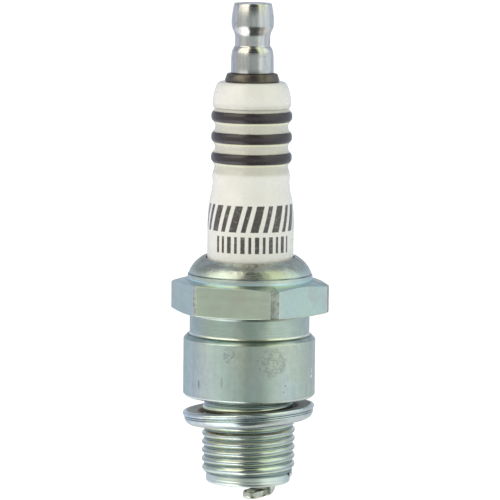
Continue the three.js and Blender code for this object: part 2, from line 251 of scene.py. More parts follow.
class Graph:
    """Adds and links the nodes of one node tree."""

    def __init__(self, tree: bpy.types.NodeTree) -> None:
        """Keeps the tree that the nodes go into."""
        self.tree = tree

    def add(self, kind: str, inputs: Optional[dict] = None, **settings: object) -> bpy.types.Node:
        """Adds one node.

        Args:
            kind: Node type.
            inputs: Input names or numbers, with the sockets or values that feed them.
            **settings: Properties of the node.

        Returns:
            The node.
        """
        node = self.tree.nodes.new(kind)
        for key, value in settings.items():
            setattr(node, key, value)
        for key, value in (inputs or {}).items():
            self.feed(node.inputs[key], value)
        return node

    def feed(self, socket: Socket, value: Feed) -> None:
        """Links or sets one input.

        Args:
            socket: Input to feed.
            value: Output socket, number, colour or vector.
        """
        if isinstance(value, Socket):
            self.tree.links.new(value, socket)
        elif isinstance(value, tuple) and len(value) == 3 and socket.type == "RGBA":
            socket.default_value = (*value, 1.0)
        else:
            socket.default_value = value

    def maths(self, operation: str, *values: Feed) -> Socket:
        """Adds a Math node and returns its result."""
        return self.add("ShaderNodeMath", dict(enumerate(values)), operation=operation).outputs[0]

    def plus(self, first: Feed, second: Feed) -> Socket:
        """Adds two values."""
        return self.maths("ADD", first, second)

    def less(self, first: Feed, second: Feed) -> Socket:
        """Takes the second value from the first."""
        return self.maths("SUBTRACT", first, second)

    def apart(self, first: Feed, second: Feed) -> Socket:
        """Distance between two values."""
        return self.maths("ABSOLUTE", self.less(first, second))

    def chain(self, operation: str, first: Feed, *others: Feed) -> Feed:
        """Applies an operation to values in order.

        Args:
            operation: Name of the operation.
            first: First value.
            *others: Values that follow.

        Returns:
            The last result, or the first value if it is alone.
        """
        for other in others:
            first = self.maths(operation, first, other)
        return first

    def times(self, *values: Feed) -> Feed:
        """Multiplies values in order."""
        return self.chain("MULTIPLY", *values)

    def largest(self, *values: Feed) -> Feed:
        """Largest of some values."""
        return self.chain("MAXIMUM", *values)

    def blend(self, factor: Feed, first: Feed, second: Feed, kind: str = "MIX") -> Socket:
        """Mixes two colours.

        Args:
            factor: Share of the second colour.
            first: First colour.
            second: Second colour.
            kind: Blend mode.

        Returns:
            The mixed colour.
        """
        inputs = {0: factor, 6: first, 7: second}
        return self.add("ShaderNodeMix", inputs, data_type="RGBA", blend_type=kind).outputs[2]

    def between(
        self, value: Feed, low: Feed, high: Feed, out_low: float = 0.0, out_high: float = 1.0
    ) -> Socket:
        """Maps a value smoothly from one range to another.

        Args:
            value: Value to map.
            low: Where the change starts.
            high: Where it ends.
            out_low: Result up to low.
            out_high: Result from high on.

        Returns:
            The mapped value.
        """
        inputs = {"Value": value, 1: low, 2: high, 3: out_low, 4: out_high}
        return self.add("ShaderNodeMapRange", inputs, interpolation_type="SMOOTHSTEP").outputs[0]

    def until(self, value: Feed, low: Feed, high: Feed) -> Socket:
        """Mask that is 1 up to a low limit and 0 from a high one on."""
        return self.between(value, low, high, 1.0, 0.0)

    def noise(
        self, vector: Socket, scale: float, detail: float = 2.0, roughness: float = 0.5,
        distortion: float = 0.0,
    ) -> Socket:
        """Adds a noise texture.

        Args:
            vector: Coordinates.
            scale: Cells per millimetre.
            detail: Octaves.
            roughness: Strength of the finer octaves.
            distortion: Swirl.

        Returns:
            The noise value, about 0.5 on average.
        """
        inputs = {"Vector": vector, "Scale": scale, "Detail": detail, "Roughness": roughness}
        return self.add("ShaderNodeTexNoise", inputs | {"Distortion": distortion}).outputs[0]

    def stretch(self, vector: Socket, scale: Triple, turn: Triple = ZERO, shift: Triple = ZERO) -> Socket:
        """Scales, turns and shifts coordinates.

        Args:
            vector: Coordinates.
            scale: Factor on each axis.
            turn: Turn about each axis in degrees.
            shift: Offset.

        Returns:
            The changed coordinates.
        """
        rotation = tuple(math.radians(angle) for angle in turn)
        inputs = {"Vector": vector, "Scale": scale, "Rotation": rotation, "Location": shift}
        return self.add("ShaderNodeMapping", inputs).outputs[0]

    def split(self, vector: Socket) -> list[Socket]:
        """Parts of a vector along X, Y and Z."""
        return list(self.add("ShaderNodeSeparateXYZ", {0: vector}).outputs)


class Effect:
    """A shared effect, kept as one node group with named inputs and outputs."""

    NAME: ClassVar[str]
    INPUTS: ClassVar[dict]  # defaults: a number, a colour, or None for a vector
    OUTPUTS: ClassVar[tuple[tuple[str, str], ...]] = (("Mask", VALUE),)
    built: ClassVar[dict[str, bpy.types.NodeTree]] = {}

    @staticmethod
    def wire(graph: Graph, given: dict) -> dict:
        """Wires the effect.

        Args:
            graph: Graph of the group.
            given: Input sockets by name.

        Returns:
            Output sockets by name.
        """
        raise NotImplementedError

    @classmethod
    def tree(cls) -> bpy.types.NodeTree:
        """Builds the group the first time that it is asked for.

        Returns:
            The node group.
        """
        if cls.NAME in cls.built:
            return cls.built[cls.NAME]
        tree = bpy.data.node_groups.new(cls.NAME, "ShaderNodeTree")
        for label, default in cls.INPUTS.items():
            kind = VECTOR if default is None else COLOUR if isinstance(default, tuple) else VALUE
            socket = tree.interface.new_socket(name=label, in_out="INPUT", socket_type=kind)
            if default is not None:
                socket.default_value = default
        for label, kind in cls.OUTPUTS:
            tree.interface.new_socket(name=label, in_out="OUTPUT", socket_type=kind)
        graph = Graph(tree)
        entry = graph.add("NodeGroupInput")
        graph.add("NodeGroupOutput", cls.wire(graph, {label: entry.outputs[label] for label in cls.INPUTS}))
        cls.built[cls.NAME] = tree
        return tree

    @classmethod
    def node(cls, graph: Graph, **inputs: Feed) -> bpy.types.Node:
        """Places the effect in a material.

        Args:
            graph: Graph of the material.
            **inputs: Sockets or values, named as the group's inputs with _ for a space.

        Returns:
            The group's node.
        """
        node = graph.add("ShaderNodeGroup", node_tree=cls.tree())
        for key, value in inputs.items():
            graph.feed(node.inputs[key.replace("_", " ").capitalize()], value)
        return node

    @classmethod
    def place(cls, graph: Graph, **inputs: Feed) -> Socket:
        """Places the effect in a material and returns its first output."""
        return cls.node(graph, **inputs).outputs[0]


class RoundCoordinates(Effect):
    """Place in millimetres, turn about the plug's axis, radius and height."""

    NAME = "round coordinates"
    INPUTS = {"Vector": None}
    OUTPUTS = (("Millimetres", VECTOR), ("Turn", VALUE), ("Radius", VALUE), ("Height", VALUE))

    @staticmethod
    def wire(graph: Graph, given: dict) -> dict:
        """Wires the coordinates from a place in metres.

        Args:
            graph: Graph of the group.
            given: Input sockets by name.

        Returns:
            Output sockets by name.
        """
        scaled = graph.add("ShaderNodeVectorMath", {0: given["Vector"], 3: 1.0 / MM}, operation="SCALE")
        x, y, z = graph.split(scaled.outputs[0])
        turn = graph.times(graph.maths("ARCTAN2", y, x), 1.0 / FULL_TURN)
        radius = graph.maths("SQRT", graph.plus(graph.times(x, x), graph.times(y, y)))
        return {"Millimetres": scaled.outputs[0], "Turn": turn, "Radius": radius, "Height": z}


class HeightBand(Effect):
    """Mask that is 1 between two heights."""

    NAME = "height band"
    INPUTS = {"Height": 0.0, "Low": 0.0, "High": 1.0, "Softness": 0.1}

    @staticmethod
    def wire(graph: Graph, given: dict) -> dict:
        """Wires a rise at the low edge and a fall at the high one.

        Args:
            graph: Graph of the group.
            given: Input sockets by name.

        Returns:
            Output sockets by name.
        """
        height, soft = given["Height"], given["Softness"]
        low, high = given["Low"], given["High"]
        rise = graph.between(height, graph.less(low, soft), graph.plus(low, soft))
        fall = graph.until(height, graph.less(high, soft), graph.plus(high, soft))
        return {"Mask": graph.times(rise, fall)}


class TurningLines(Effect):
    """Fine rings that a lathe leaves, as a height between 0 and 1."""

    NAME = "turning lines"
    INPUTS = {"Vector": None, "Density": 6.0}
    OUTPUTS = (("Height", VALUE),)

    @staticmethod
    def wire(graph: Graph, given: dict) -> dict:
        """Wires a noise that is drawn out round the axis.

        Args:
            graph: Graph of the group.
            given: Input sockets by name.

        Returns:
            Output sockets by name.
        """
        x, y, z = graph.split(given["Vector"])
        parts = {0: graph.times(x, 0.05), 1: graph.times(y, 0.05), 2: graph.times(z, given["Density"])}
        drawn = graph.add("ShaderNodeCombineXYZ", parts).outputs[0]
        return {"Height": graph.noise(drawn, 1.0, 3.0, 0.65)}


class FineScratches(Effect):
    """Thin handling scratches in several directions."""

    NAME = "fine scratches"
    INPUTS = {"Vector": None, "Width": 0.02}

    @staticmethod
    def wire(graph: Graph, given: dict) -> dict:
        """Wires three sets of lines, each gated by a noise.

        Args:
            graph: Graph of the group.
            given: Input sockets by name.

        Returns:
            Output sockets by name.
        """
        sets = []
        for turn, shift in ((24.0, 3.0), (-31.0, 17.0), (63.0, 41.0)):
            tilted = graph.stretch(
                given["Vector"], (0.35, 0.35, 6.0), (turn, turn * 0.4, 0.0), (shift, shift, shift)
            )
            thin = graph.until(graph.apart(graph.noise(tilted, 1.0, 1.0, 0.4), 0.5), 0.0, given["Width"])
            gate = graph.between(graph.noise(tilted, 0.31, 1.0), 0.55, 0.66)
            sets.append(graph.times(thin, gate))
        return {"Mask": graph.largest(*sets)}


class Speckle(Effect):
    """Scattered small spots."""

    NAME = "speckle"
    INPUTS = {"Vector": None, "Scale": 1.0, "Size": 0.2, "Rarity": 0.8}

    @staticmethod
    def wire(graph: Graph, given: dict) -> dict:
        """Wires round spots in the few cells that are picked.

        Args:
            graph: Graph of the group.
            given: Input sockets by name.

        Returns:
            Output sockets by name.
        """
        cells = graph.add(
            "ShaderNodeTexVoronoi", {"Vector": given["Vector"], "Scale": given["Scale"]}, feature="F1"
        )
        spots = graph.until(cells.outputs["Distance"], 0.06, given["Size"])
        pick = graph.add("ShaderNodeSeparateColor", {0: cells.outputs["Color"]}).outputs[0]
        return {"Mask": graph.times(spots, graph.maths("GREATER_THAN", pick, given["Rarity"]))}


class EdgeWear(Effect):
    """Mask of outer edges, broken up by noise."""

    NAME = "edge wear"
    INPUTS = {"Vector": None, "Start": 0.52}

    @staticmethod
    def wire(graph: Graph, given: dict) -> dict:
        """Wires the sharp outer edges.

        Args:
            graph: Graph of the group.
            given: Input sockets by name.

        Returns:
            Output sockets by name.
        """
        point = graph.add("ShaderNodeNewGeometry").outputs["Pointiness"]
        edge = graph.between(point, given["Start"], graph.plus(given["Start"], 0.05))
        return {"Mask": graph.times(edge, graph.between(graph.noise(given["Vector"], 1.7, 3.0), 0.35, 0.6))}


class CreviceShade(Effect):
    """Mask of hollows, where painted shade darkens the plating."""

    NAME = "crevice grime"
    INPUTS = {"Vector": None, "Start": 0.49, "End": 0.42}

    @staticmethod
    def wire(graph: Graph, given: dict) -> dict:
        """Wires the hollows, thinned by a noise.

        Args:
            graph: Graph of the group.
            given: Input sockets by name.

        Returns:
            Output sockets by name.
        """
        point = graph.add("ShaderNodeNewGeometry").outputs["Pointiness"]
        hollow = graph.until(point, given["End"], given["Start"])
        broken = graph.between(graph.noise(given["Vector"], 1.1, 3.0), 0.3, 0.6, 0.6, 1.0)
        return {"Mask": graph.times(hollow, broken)}


class Passivation(Effect):
    """Drifting tints of a thin chromate film on zinc."""

    NAME = "passivation"
    INPUTS = {
        "Vector": None, "Cool": (0.55, 0.72, 0.68, 1.0), "Warm": (0.66, 0.72, 0.52, 1.0),
        "Lilac": (0.62, 0.64, 0.74, 1.0), "Warmth": 0.7, "Violet": 0.5,
    }
    OUTPUTS = (("Color", COLOUR),)

    @staticmethod
    def wire(graph: Graph, given: dict) -> dict:
        """Wires two slow drifts of tint and a fine shade over them.

        Args:
            graph: Graph of the group.
            given: Input sockets by name.

        Returns:
            Output sockets by name.
        """
        slow = graph.stretch(given["Vector"], (1.0, 1.0, 0.35))
        first = graph.noise(slow, 0.15, 2.0, 0.45, 0.2)
        second = graph.noise(graph.stretch(slow, EVEN, shift=(31, 12, 7)), 0.2, 2.0, 0.45, 0.2)
        tint = given["Cool"]
        for drift, low, high, share, other in (
            (first, 0.36, 0.70, "Warmth", "Warm"), (second, 0.42, 0.74, "Violet", "Lilac"),
        ):
            tint = graph.blend(graph.times(graph.between(drift, low, high), given[share]), tint, given[other])
        shade = graph.between(graph.noise(given["Vector"], 1.3, 4.0, 0.6), 0.3, 0.7, 0.93, 1.05)
        toned = graph.add("ShaderNodeCombineColor", {0: shade, 1: shade, 2: shade}).outputs[0]
        return {"Color": graph.blend(1.0, tint, toned, "MULTIPLY")}


def arc_from(graph: Graph, turn: Socket, centre: Socket, radius: Socket) -> Socket:
    """Length of the arc from a place round the axis.

    Args:
        graph: Graph of the group.
        turn: Place in turns.
        centre: Place that the arc starts from, in turns.
        radius: Radius of the arc.

    Returns:
        Signed length of the shorter way round.
    """
    away = graph.less(turn, centre)
    wrapped = graph.less(away, graph.maths("ROUND", away))
    return graph.times(wrapped, graph.times(radius, FULL_TURN))


class OvalMark(Effect):
    """Soft oval at one place on a turned surface."""

    NAME = "oval mark"
    INPUTS = {
        "Turn": 0.0, "Height": 0.0, "Radius": 9.6, "At turn": 0.0, "At height": 0.0,
        "Half width": 0.1, "Half height": 0.1,
    }

    @staticmethod
    def wire(graph: Graph, given: dict) -> dict:
        """Wires the oval from the distance to its middle.

        Args:
            graph: Graph of the group.
            given: Input sockets by name.

        Returns:
            Output sockets by name.
        """
        arc = arc_from(graph, given["Turn"], given["At turn"], given["Radius"])
        across = graph.maths("DIVIDE", arc, given["Half width"])
        along = graph.maths("DIVIDE", graph.less(given["Height"], given["At height"]), given["Half height"])
        reach = graph.plus(graph.times(across, across), graph.times(along, along))
        return {"Mask": graph.until(reach, 0.5, 1.2)}


class BarRow(Effect):
    """Row of plain printed bars round a turned surface."""

    NAME = "bar row"
    INPUTS = {
        "Turn": 0.0, "Height": 0.0, "Radius": 6.25, "Centre turn": 0.0, "Low": 0.0, "High": 1.0,
        "Pitch": 1.5, "Fill": 0.3, "Variation": 0.1, "Slant": 0.0, "Half length": 5.0,
    }
    EDGE: ClassVar[float] = 0.03  # softness of a bar's sides, as a share of the pitch
    END: ClassVar[float] = 0.05  # softness of its ends in millimetres

    @staticmethod
    def wire(graph: Graph, given: dict) -> dict:
        """Wires slanted bars of two widths between two heights.

        Args:
            graph: Graph of the group.
            given: Input sockets by name.

        Returns:
            Output sockets by name.
        """
        arc = arc_from(graph, given["Turn"], given["Centre turn"], given["Radius"])
        height, low, high = given["Height"], given["Low"], given["High"]
        middle = graph.times(graph.plus(low, high), 0.5)
        place = graph.less(arc, graph.times(graph.less(height, middle), given["Slant"]))
        cell = graph.maths("DIVIDE", place, given["Pitch"])
        inside = graph.apart(graph.maths("FRACT", cell), 0.5)
        odd = graph.maths("PINGPONG", graph.maths("FLOOR", cell), 1.0)
        half = graph.less(given["Fill"], graph.times(odd, given["Variation"]))
        bar = graph.until(inside, graph.less(half, BarRow.EDGE), graph.plus(half, BarRow.EDGE))
        rise = graph.between(height, graph.less(low, BarRow.END), graph.plus(low, BarRow.END))
        fall = graph.until(height, graph.less(high, BarRow.END), graph.plus(high, BarRow.END))
        ends = graph.maths("LESS_THAN", graph.maths("ABSOLUTE", place), given["Half length"])
        return {"Mask": graph.times(bar, ends, rise, fall)}


# ---- finishes --------------------------------------------------------------------------------


def new_material(name: str) -> tuple[Material, Graph, bpy.types.Node]:
    """Makes an empty material with its shader.

    Args:
        name: Name of the finish.

    Returns:
        The material, its graph and the shader node.
    """
    material = bpy.data.materials.new(name)
    material.use_nodes = True
    material.node_tree.nodes.clear()
    graph = Graph(material.node_tree)
    shader = graph.add("ShaderNodeBsdfPrincipled")
    graph.add("ShaderNodeOutputMaterial", {"Surface": shader.outputs[0]})
    return material, graph, shader


class Coat:
    """A finish in the making: what it shows so far at each place of a piece."""

    def __init__(self, name: str, colour: Union[Colour, Socket] = BLACK) -> None:
        """Starts a material on the piece's Object coordinates.

        Args:
            name: Name of the finish.
            colour: Colour to start from.
        """
        self.material, self.graph, self.shader = new_material(name)
        source = self.graph.add("ShaderNodeTexCoord").outputs["Object"]
        place = RoundCoordinates.node(self.graph, vector=source).outputs
        self.spot, self.turn, self.radius, self.height = place
        self.colour, self.rough, self.level = colour, 0.5, 0.0

    def tint(self, colour: Colour, *shares: Feed) -> None:
        """Blends a colour in by the product of its shares."""
        self.colour = self.graph.blend(self.graph.times(*shares), self.colour, colour)

    def roughen(self, *shares: Feed) -> None:
        """Adds the product of its shares to the roughness."""
        self.rough = self.graph.plus(self.rough, self.graph.times(*shares))

    def emboss(self, *shares: Feed) -> None:
        """Adds the product of its shares to the relief."""
        self.level = self.graph.plus(self.level, self.graph.times(*shares))

    def dent(self, *shares: Feed) -> None:
        """Takes the product of its shares from the relief."""
        self.level = self.graph.less(self.level, self.graph.times(*shares))

    def cloud(
        self, noise: tuple[float, ...], low: float, high: float, out_low: float = 0.0,
        out_high: float = 1.0, spot: Optional[Socket] = None,
    ) -> Socket:
        """Maps a noise over the piece to a soft mask.

        Args:
            noise: Cells per millimetre, then octaves, roughness and swirl if they differ.
            low: Noise value where the change starts.
            high: Noise value where it ends.
            out_low: Result up to low.
            out_high: Result from high on.
            spot: Coordinates, if not the plain place in millimetres.

        Returns:
            The mask.
        """
        value = self.graph.noise(self.spot if spot is None else spot, *noise)
        return self.graph.between(value, low, high, out_low, out_high)

    def band(self, low: float, high: float, softness: float, height: Optional[Socket] = None) -> Socket:
        """Adds a mask between two heights.

        Args:
            low: Lower edge.
            high: Upper edge.
            softness: Half width of the soft edges.
            height: Height to compare, if not the plain one.

        Returns:
            The mask.
        """
        height = self.height if height is None else height
        return HeightBand.place(self.graph, height=height, low=low, high=high, softness=softness)

    def lathe(self, lines: float, roughness: float) -> Socket:
        """Adds turning lines and sets the roughness by them.

        Args:
            lines: Rings per millimetre.
            roughness: Roughness of the finish.

        Returns:
            Height of the rings.
        """
        rings = TurningLines.place(self.graph, vector=self.spot, density=lines)
        self.rough = self.graph.between(rings, 0.3, 0.7, roughness - 0.05, roughness + 0.06)
        return rings

    def specks(self, scale: float, size: float, rarity: float) -> Socket:
        """Adds a mask of scattered spots, by cells per millimetre, size and rarity."""
        return Speckle.place(self.graph, vector=self.spot, scale=scale, size=size, rarity=rarity)

    def finish(self, depth: float, metallic: Feed = 0.0) -> Material:
        """Feeds the shader.

        Args:
            depth: Depth of the relief in millimetres at height 1.
            metallic: Share of metal.

        Returns:
            The material.
        """
        inputs = {"Height": self.level, "Strength": 1.0, "Distance": depth * MM}
        relief = self.graph.add("ShaderNodeBump", inputs).outputs[0]
        feeds = {
            "Base Color": self.colour, "Roughness": self.rough, "Metallic": metallic, "Normal": relief,
        }
        for label, value in feeds.items():
            self.graph.feed(self.shader.inputs[label], value)
        return self.material


class Zone(Enum):
    """Plated pieces that carry marks of their own."""

    TURNED = "turned"
    HEXAGON = "hexagon"
    THREAD = "thread"
    GASKET = "gasket"


@dataclass(frozen=True)
class PlateTints:
    """Colours that film, heat, dirt and wear give the plating, with painted highlights and painted shade
    among them.
    """

    # painted shade for the hollows
    hollow_shade: Colour = (0.16, 0.20, 0.20)
    scratch: Colour = (0.82, 0.86, 0.82)
    pit: Colour = (0.22, 0.26, 0.25)
    worn_edge: Colour = (0.88, 0.90, 0.88)
    heated: Colour = (0.34, 0.305, 0.25)
    recess_shade: Colour = (0.14, 0.20, 0.20)
    # painted shade for the recessed neck
    streak: Colour = (0.46, 0.54, 0.52)
    teal: Colour = (0.50, 0.73, 0.69)
    olive: Colour = (0.69, 0.78, 0.62)
    mauve: Colour = (0.56, 0.50, 0.46)
    rough_corner: Colour = (0.56, 0.56, 0.52)
    corner_pit: Colour = (0.16, 0.17, 0.15)
    # painted highlight along the edges of the hexagon's corner strips
    strip_edge_highlight: Colour = (0.92, 0.94, 0.88)
    blue_cone: Colour = (0.42, 0.65, 0.76)
    # painted shade in the thread's roots
    root_shade: Colour = (0.08, 0.11, 0.12)
    # painted highlight on the thread's flanks
    flank_highlight: Colour = (0.88, 0.88, 0.58)
    worn_crest: Colour = (0.36, 0.40, 0.44)
    # painted shade on the gasket's inner top face
    top_face_shade: Colour = (0.36, 0.37, 0.36)
    pink_rim: Colour = (0.52, 0.42, 0.39)


TINTS = PlateTints()


@dataclass(frozen=True)
class Mark:
    """Dent, bright spot or roughened patch on the turned body; a cut below 0 stands out."""

    azimuth: float
    height: float
    half_width: float
    half_height: float
    cut: float
    share: float
    tint: Colour


@dataclass(frozen=True)
class PaintedLightRing:
    """Ring round the turned body, tinted as a painted highlight where it is light and as painted shade where
    it is dark.
    """

    low: float
    high: float
    softness: float
    share: float
    tint: Colour


@dataclass(frozen=True)
class PlatedSteel:
    """Zinc plate with a passivation film of changing tint."""

    name: str
    zone: Zone
    cool: Colour = (0.57, 0.70, 0.665)
    warm: Colour = (0.68, 0.70, 0.54)
    lilac: Colour = (0.63, 0.65, 0.74)
    warmth: float = 0.7
    violet: float = 0.5
    roughness: float = 0.28
    lines: float = 5.0
    depth: float = 0.012
    # share of the painted shade in hollows
    hollow_shade: float = 0.7
    scratches: float = 0.35

    BODY_RADIUS: ClassVar[float] = 9.6
    STRIP_WIDTH: ClassVar[float] = 4.3  # degrees from a corner to the edge of its rough strip
    NARROWER: ClassVar[tuple[Point, ...]] = ((-2.0, 2.7), (-1.0, 0.8))  # sixths of a turn and degrees
    PAINTED_LIGHT_RINGS: ClassVar[tuple[PaintedLightRing, ...]] = (
        # painted shade in the crease under the crimped dome
        PaintedLightRing(17.74, 17.95, 0.07, 0.75, (0.07, 0.085, 0.08)),
        # painted highlight: light blue line on the fillet above the hexagon
        PaintedLightRing(17.0, 17.24, 0.05, 0.7, (0.66, 0.86, 0.92)),
        # painted shade over the waist under the hexagon
        PaintedLightRing(9.3, 12.0, 0.2, 0.75, (0.43, 0.52, 0.46)),
        # painted shadow under the hexagon's lower edge
        PaintedLightRing(12.0, 12.3, 0.08, 0.6, (0.10, 0.13, 0.14)),
        # painted highlight on the fillet at the top of the body
        PaintedLightRing(9.08, 9.36, 0.06, 0.75, (0.95, 0.96, 0.82)),
        # painted shade line at the body's top edge
        PaintedLightRing(8.90, 9.06, 0.04, 0.8, (0.07, 0.12, 0.14)),
        # painted shade on the body's top chamfer
        PaintedLightRing(8.45, 8.90, 0.06, 0.45, (0.16, 0.24, 0.26)),
        # painted highlight on the body's bottom chamfer
        PaintedLightRing(0.10, 0.36, 0.04, 0.7, (0.94, 0.94, 0.92)),
        # painted light: the pilot is tinted lighter
        PaintedLightRing(-12.7, -11.3, 0.1, 0.75, (0.86, 0.92, 0.84)),
    )
    MARKS: ClassVar[tuple[Mark, ...]] = (
        Mark(-127.0, 2.4, 0.17, 0.72, 3.0, 0.55, (0.18, 0.20, 0.19)),
        Mark(-45.0, 2.5, 0.14, 0.16, 3.0, 0.5, (0.20, 0.23, 0.22)),
        Mark(-46.5, 1.6, 0.13, 0.13, 3.0, 0.5, (0.20, 0.23, 0.22)),
        Mark(-8.5, 3.3, 0.34, 0.24, 1.5, 1.0, (1.0, 1.0, 1.0)),
        Mark(-7.0, 4.1, 0.16, 0.45, 1.5, 0.9, (1.0, 1.0, 1.0)),
        Mark(-102.0, 3.0, 0.16, 0.9, 1.0, 0.45, (0.30, 0.34, 0.34)),
    )
    STAMPED: ClassVar[Colour] = (0.26, 0.32, 0.31)
    STAMPS: ClassVar[tuple[Mark, ...]] = (
        Mark(-96.0, 7.0, 0.9, 1.4, -3.4, 0.4, STAMPED),
        Mark(-58.0, 6.0, 2.5, 2.1, -3.4, 0.4, STAMPED),
    )

    def build(self) -> Material:
        """Builds the finish.

        Returns:
            The material.
        """
        coat = Coat(self.name)
        graph, spot = coat.graph, coat.spot
        coat.colour = Passivation.place(
            graph, vector=spot, cool=self.cool, warm=self.warm, lilac=self.lilac, warmth=self.warmth,
            violet=self.violet,
        )
        coat.level = graph.times(coat.lathe(self.lines, self.roughness), 0.35)
        scratch = FineScratches.place(graph, vector=spot, width=0.016)
        pits = coat.specks(1.1, 0.14, 0.86)
        # painted shade: the plating is darkened in its hollows
        coat.tint(TINTS.hollow_shade, CreviceShade.place(graph, vector=spot), self.hollow_shade)
        coat.tint(TINTS.scratch, scratch, self.scratches)
        coat.tint(TINTS.pit, pits, 0.5)
        coat.tint(TINTS.worn_edge, EdgeWear.place(graph, vector=spot, start=0.53), 0.6)
        coat.dent(pits, 0.8)
        coat.dent(scratch, 0.3)
        own_marks = {
            Zone.TURNED: self.mark_turned, Zone.HEXAGON: self.mark_corners,
            Zone.THREAD: self.mark_roots, Zone.GASKET: self.mark_top,
        }
        own_marks[self.zone](coat)
        # the gasket's inner top face is made less metallic so that its painted shade shows
        shade_painted_top = self.zone is Zone.GASKET
        return coat.finish(self.depth, graph.between(coat.radius, 8.95, 9.2, 0.2, 1.0) if shade_painted_top else 1.0)

    def mark_turned(self, coat: Coat) -> None:
        """Adds the heat-darkened dome, rings of painted highlight and painted shade, painted shade on the
        neck, the satin body and its dents.

        Args:
            coat: Finish to add them to.
        """
        graph, spot = coat.graph, coat.spot
        dome = coat.band(18.4, 22.0, 0.7)
        coat.tint(TINTS.heated, dome, coat.cloud((0.55, 4.0, 0.65), 0.4, 0.62, 0.5, 1.0), 0.72)
        coat.emboss(dome, graph.noise(spot, 0.9, 3.0, 0.6), 9.0)
        patchy = coat.cloud((0.45, 3.0), 0.3, 0.6, 0.55, 1.0)
        # rings of painted highlight and painted shade round the body
        for painted_ring in self.PAINTED_LIGHT_RINGS:
            ring = coat.band(painted_ring.low, painted_ring.high, painted_ring.softness)
            coat.tint(painted_ring.tint, ring, patchy, painted_ring.share)
        # painted shade: the neck under the body's overhang is darkened
        neck = coat.band(-11.4, -0.04, 0.05)
        coat.tint(TINTS.recess_shade, neck, graph.until(coat.radius, 6.4, 6.6), 0.62)
        satin = graph.times(coat.band(0.36, 8.4, 0.1), graph.between(coat.radius, 8.9, 9.1))
        coat.roughen(satin, 0.14)
        upright = graph.stretch(spot, (1.0, 1.0, 0.06), shift=(5, 9, 0))
        coat.tint(TINTS.streak, satin, coat.cloud((0.42, 3.0), 0.42, 0.62, spot=upright), 0.45)
        self.add_marks(coat, self.MARKS, satin)
        slanted = graph.stretch(spot, (1.0, 1.0, 1.2), (0, 0, 0.6))
        strokes = coat.cloud((2.4, 3.0, 0.5, 0.8), 0.50, 0.56, spot=slanted)
        self.add_marks(coat, self.STAMPS, graph.times(satin, strokes))

    @staticmethod
    def add_marks(coat: Coat, marks: tuple[Mark, ...], where: Socket) -> None:
        """Adds a set of oval marks.

        Args:
            coat: Finish to add them to.
            marks: Places, sizes and tints.
            where: Mask that they are kept to.
        """
        for mark in marks:
            oval = OvalMark.place(
                coat.graph, turn=coat.turn, height=coat.height, radius=PlatedSteel.BODY_RADIUS,
                at_turn=mark.azimuth / 360.0, at_height=mark.height, half_width=mark.half_width,
                half_height=mark.half_height,
            )
            oval = coat.graph.times(oval, where)
            coat.dent(oval, mark.cut)
            coat.tint(mark.tint, oval, mark.share)

    def mark_corners(self, coat: Coat) -> None:
        """Adds the tint that changes from flat to flat, the rough corners with a painted highlight along
        their edges, and the blue cone.

        Args:
            coat: Finish to add them to.
        """
        graph = coat.graph
        sixth = graph.times(coat.turn, 6.0)
        olive = graph.less(1.0, graph.maths("PINGPONG", graph.maths("FLOOR", sixth), 1.0))
        coat.tint(TINTS.teal, 0.4)
        coat.tint(TINTS.olive, olive, 0.8)
        shifted = graph.stretch(coat.spot, EVEN, shift=(3, 5, 1))
        coat.tint(TINTS.mauve, coat.cloud((0.3, 3.0), 0.4, 0.65, spot=shifted), 0.3)
        nearest = graph.maths("ROUND", sixth)
        width = self.STRIP_WIDTH
        for corner, narrower in self.NARROWER:
            here = graph.maths("COMPARE", nearest, corner, 0.1)
            width = graph.less(width, graph.times(here, narrower))
        outside = graph.less(graph.times(graph.apart(sixth, nearest), 60.0), width)
        strip = graph.until(outside, -0.25, 0.05)
        coat.tint(TINTS.rough_corner, strip, 0.7)
        coat.tint(TINTS.corner_pit, strip, coat.cloud((1.2, 4.0, 0.65), 0.46, 0.6, 0.1, 1.0), 0.5)
        # painted highlight: a bright line along the edges of the corner strips
        rim = graph.until(graph.apart(outside, 0.1), 0.14, 0.34)
        coat.tint(TINTS.strip_edge_highlight, rim, coat.cloud((1.6, 3.0), 0.3, 0.5, 0.5, 1.0), 0.85)
        fall = graph.between(coat.radius, 9.4, 11.55, 17.0, 16.38)
        coat.tint(TINTS.blue_cone, graph.until(graph.apart(coat.height, fall), 0.015, 0.03), 0.7)
        coat.roughen(strip, 0.08)
        coat.emboss(strip, graph.noise(coat.spot, 1.9, 3.0, 0.6), 3.0)

    def mark_roots(self, coat: Coat) -> None:
        """Adds the painted shade in the roots, the painted yellow highlight on the flanks and the worn crests
        of the thread.

        Args:
            coat: Finish to add them to.
        """
        graph, radius = coat.graph, coat.radius
        uneven = coat.cloud((0.7, 3.0), 0.3, 0.6, 0.7, 1.0)
        # painted shade: the thread's roots are darkened
        coat.tint(TINTS.root_shade, graph.until(radius, 6.42, 6.56), uneven, 0.8)
        # painted highlight: the thread's flanks are tinted bright yellow
        flank = graph.times(graph.between(radius, 6.5, 6.56), graph.until(radius, 6.66, 6.72))
        coat.tint(TINTS.flank_highlight, flank, 0.6)
        coat.tint(TINTS.worn_crest, graph.between(radius, 6.74, 6.77), 0.7)

    def mark_top(self, coat: Coat) -> None:
        """Adds painted shade on the gasket's inner top face and the pink rim of its hole.

        Args:
            coat: Finish to add them to.
        """
        # painted shade: the gasket's inner top face is darkened
        inner = coat.graph.until(coat.radius, 8.95, 9.2)
        coat.tint(TINTS.top_face_shade, inner, coat.cloud((0.35, 3.0), 0.35, 0.6, 0.7, 1.0), 0.9)
        coat.roughen(inner, 0.35)
        coat.tint(TINTS.pink_rim, coat.graph.until(coat.radius, 7.4, 8.1), 0.75)


